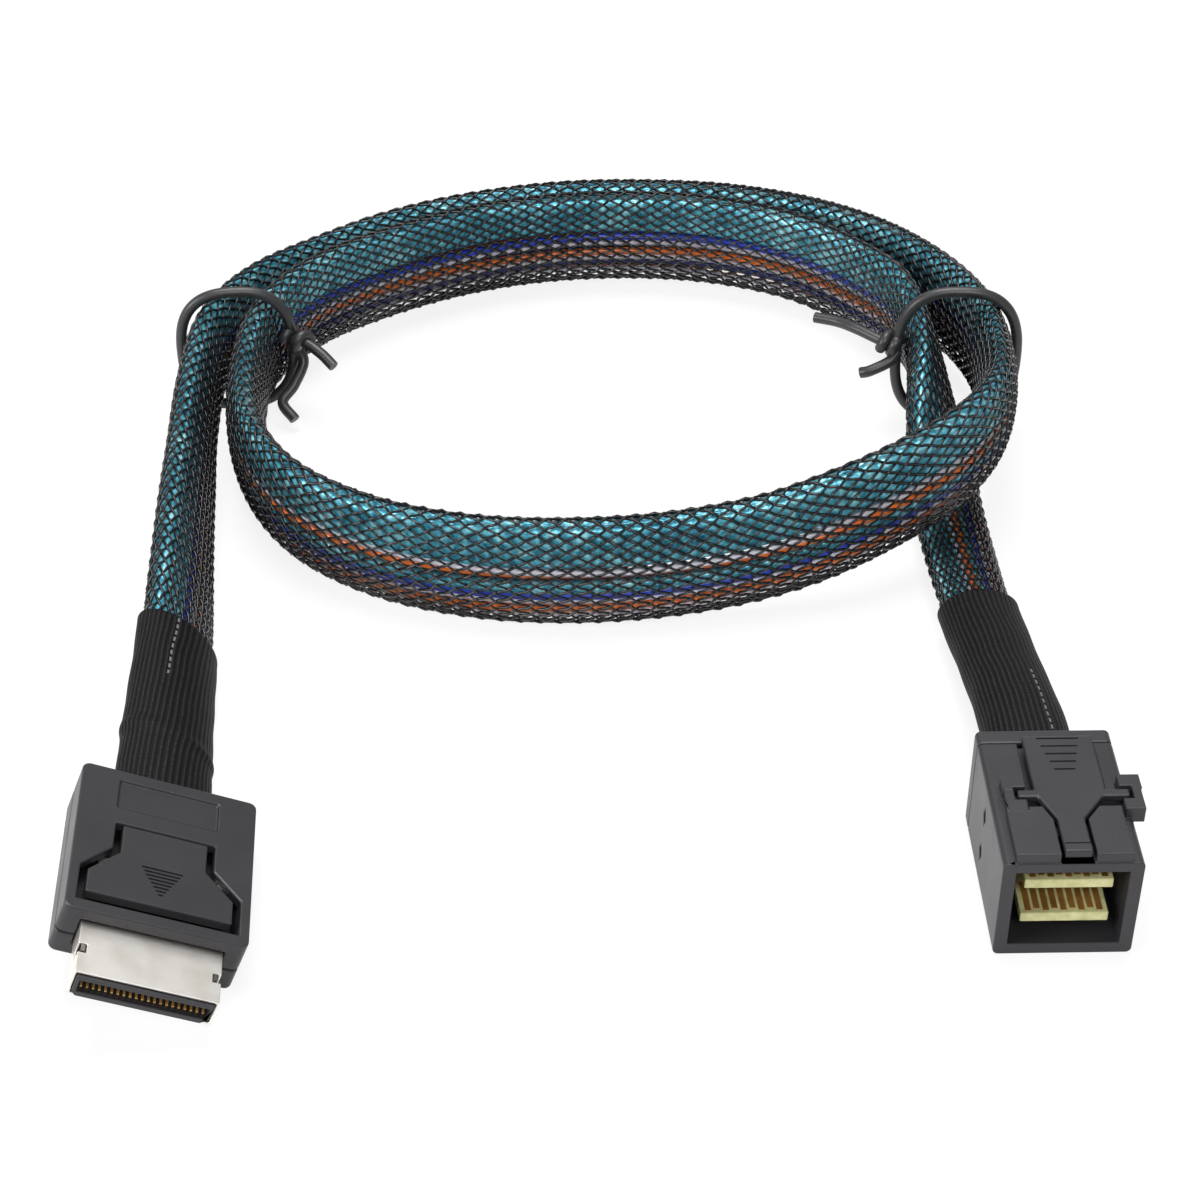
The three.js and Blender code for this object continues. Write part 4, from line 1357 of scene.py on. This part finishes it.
@dataclass
class Studio:
    """White surroundings, soft lamps and the floor that keeps the object's shadow."""

    floor_size: float = 14.0
    floor_gap: float = 0.00004
    fill: float = 0.25
    shine_share: float = 0.36
    floor_white: float = 0.84
    floor_shine: float = 0.6
    camera: PhotoCamera = field(default_factory=PhotoCamera)
    lamps: tuple[Softbox, ...] = (
        Softbox("lamp_above", (-0.04, 0.16, 0.6), (-0.04, 0.05, 0.0), 0.34, 3.6),
        Softbox("lamp_left", (-0.5, -0.15, 0.25), (-0.04, 0.04, 0.0), 0.2, 2.0),
        Softbox("lamp_front", (0.05, -0.5, 0.5), (-0.04, 0.04, 0.0), 0.18, 2.2),
    )

    def _world(self) -> None:
        """White world, dimmer where it lights the object."""
        world = bpy.data.worlds.new("studio")
        bpy.context.scene.world = world
        graph = Graph(world)
        rays = graph.node("ShaderNodeLightPath").outputs
        clear = Value(graph, rays["Is Camera Ray"]).larger(Value(graph, rays["Is Transmission Ray"]))
        seen = clear.larger(Value(graph, rays["Is Glossy Ray"]) * self.shine_share)
        sockets = {"Value": seen, "To Min": self.fill, "To Max": 1.0}
        strength = graph.node("ShaderNodeMapRange", {}, sockets)
        shell = graph.node("ShaderNodeBackground", {}, {"Color": WHITE, "Strength": strength.outputs[0]})
        graph.node("ShaderNodeOutputWorld", {}, {0: shell.outputs[0]})

    def _floor(self) -> None:
        """Pale floor, white to the camera and shaded where the object stands."""
        look = Look("floor")
        look.set(base_color=(0.92, 0.92, 0.92), roughness=0.85, specular_ior_level=0.1)
        glow = look.node("ShaderNodeEmission", {}, {"Color": WHITE, "Strength": 1.0})
        rays = look.node("ShaderNodeLightPath").outputs
        share = Value(look, rays["Is Camera Ray"]) * self.floor_white
        share += Value(look, rays["Is Glossy Ray"]) * self.floor_shine
        sockets = {0: share, 1: look.shader.outputs[0], 2: glow.outputs[0]}
        mixed = look.node("ShaderNodeMixShader", {}, sockets)
        look.feed(look.output.inputs[0], mixed.outputs[0])
        bm = bmesh.new()
        bmesh.ops.create_grid(bm, x_segments=1, y_segments=1, size=self.floor_size / 2)
        lowest = min(CAD_BOX[0].z, 0.0) - self.floor_gap
        bmesh.ops.translate(bm, verts=bm.verts, vec=(0.0, 0.0, lowest))
        floor = bpy.data.objects.new("floor", mesh_of(bm, "floor", False))
        floor.data.materials.append(look.material)
        bpy.context.scene.collection.objects.link(floor)

    def build(self) -> None:
        """Builds the studio."""
        self.camera.build()
        for lamp in self.lamps:
            lamp.build()
        self._world()
        self._floor()
        bpy.context.scene.view_settings.view_transform = "Standard"


def finishes(length: float) -> Looks:
    """Builds the materials.

    Args:
        length: the cable's length in metres.

    Returns:
        The materials by slot.
    """
    table = {
        Slot.PLASTIC: MouldedPlastic("satin_plastic", (0.0195, 0.0186, 0.0215), 0.4),
        Slot.NICKEL: PlatedMetal("nickel_plate", (0.843, 0.817, 0.774), (0.774, 0.74, 0.671), 0.34),
        Slot.GOLD: GOLD_PLATE,
        Slot.BOARD: CircuitBoard("board", (0.62, 0.61, 0.32), (0.42, 0.4, 0.18)),
        Slot.BRAID: Monofilament("monofilament"),
        # Teal film colours: painted shade and seam, body colour, painted highlight.
        Slot.FOIL: FoilFilm(
            "teal_film", (0.02, 0.17, 0.26), (0.09, 0.42, 0.55), (0.36, 0.8, 0.9), length
        ),
        Slot.WHITE: Insulation("insulation_white", (0.78, 0.76, 0.84), (0.6, 0.57, 0.66)),
        Slot.ORANGE: Insulation("insulation_orange", (0.95, 0.22, 0.035), (0.72, 0.14, 0.02)),
        Slot.BLUE: Insulation("insulation_blue", (0.03, 0.08, 0.62), (0.015, 0.04, 0.4)),
        Slot.NAVY: Insulation("insulation_navy", (0.014, 0.03, 0.22), (0.007, 0.015, 0.12)),
        Slot.RUBBER: CoatedRubber("tie_coating"),
    }
    return {slot: finish.material() for slot, finish in table.items()}


def main() -> None:
    """Builds the cable, its plugs and the studio in order."""
    logging.basicConfig(level=logging.INFO, format="%(message)s")
    route = CableRoute()
    looks = finishes(route.reach[-1] * MM)
    Studio().build()
    sleeve = BraidedSleeve(route)
    strands = sleeve.build(looks[Slot.BRAID])
    others = strands[1:]
    others += WireBundle(route).build(looks)
    others.append(TapeWrap(route, "oculink_tape_wrap", 1.6, 4.3).build())
    others.append(TapeWrap(route, "sas_tape_wrap", 46.95, 49.56, folds=()).build())
    others += [tie.build(looks[Slot.RUBBER]) for tie in (LEFT_TIE, RIGHT_TIE)]
    plugs = FlatPlug().build(looks) + TallPlug().build(looks)
    sleeve.declare()


if __name__ == "__main__":
    main()
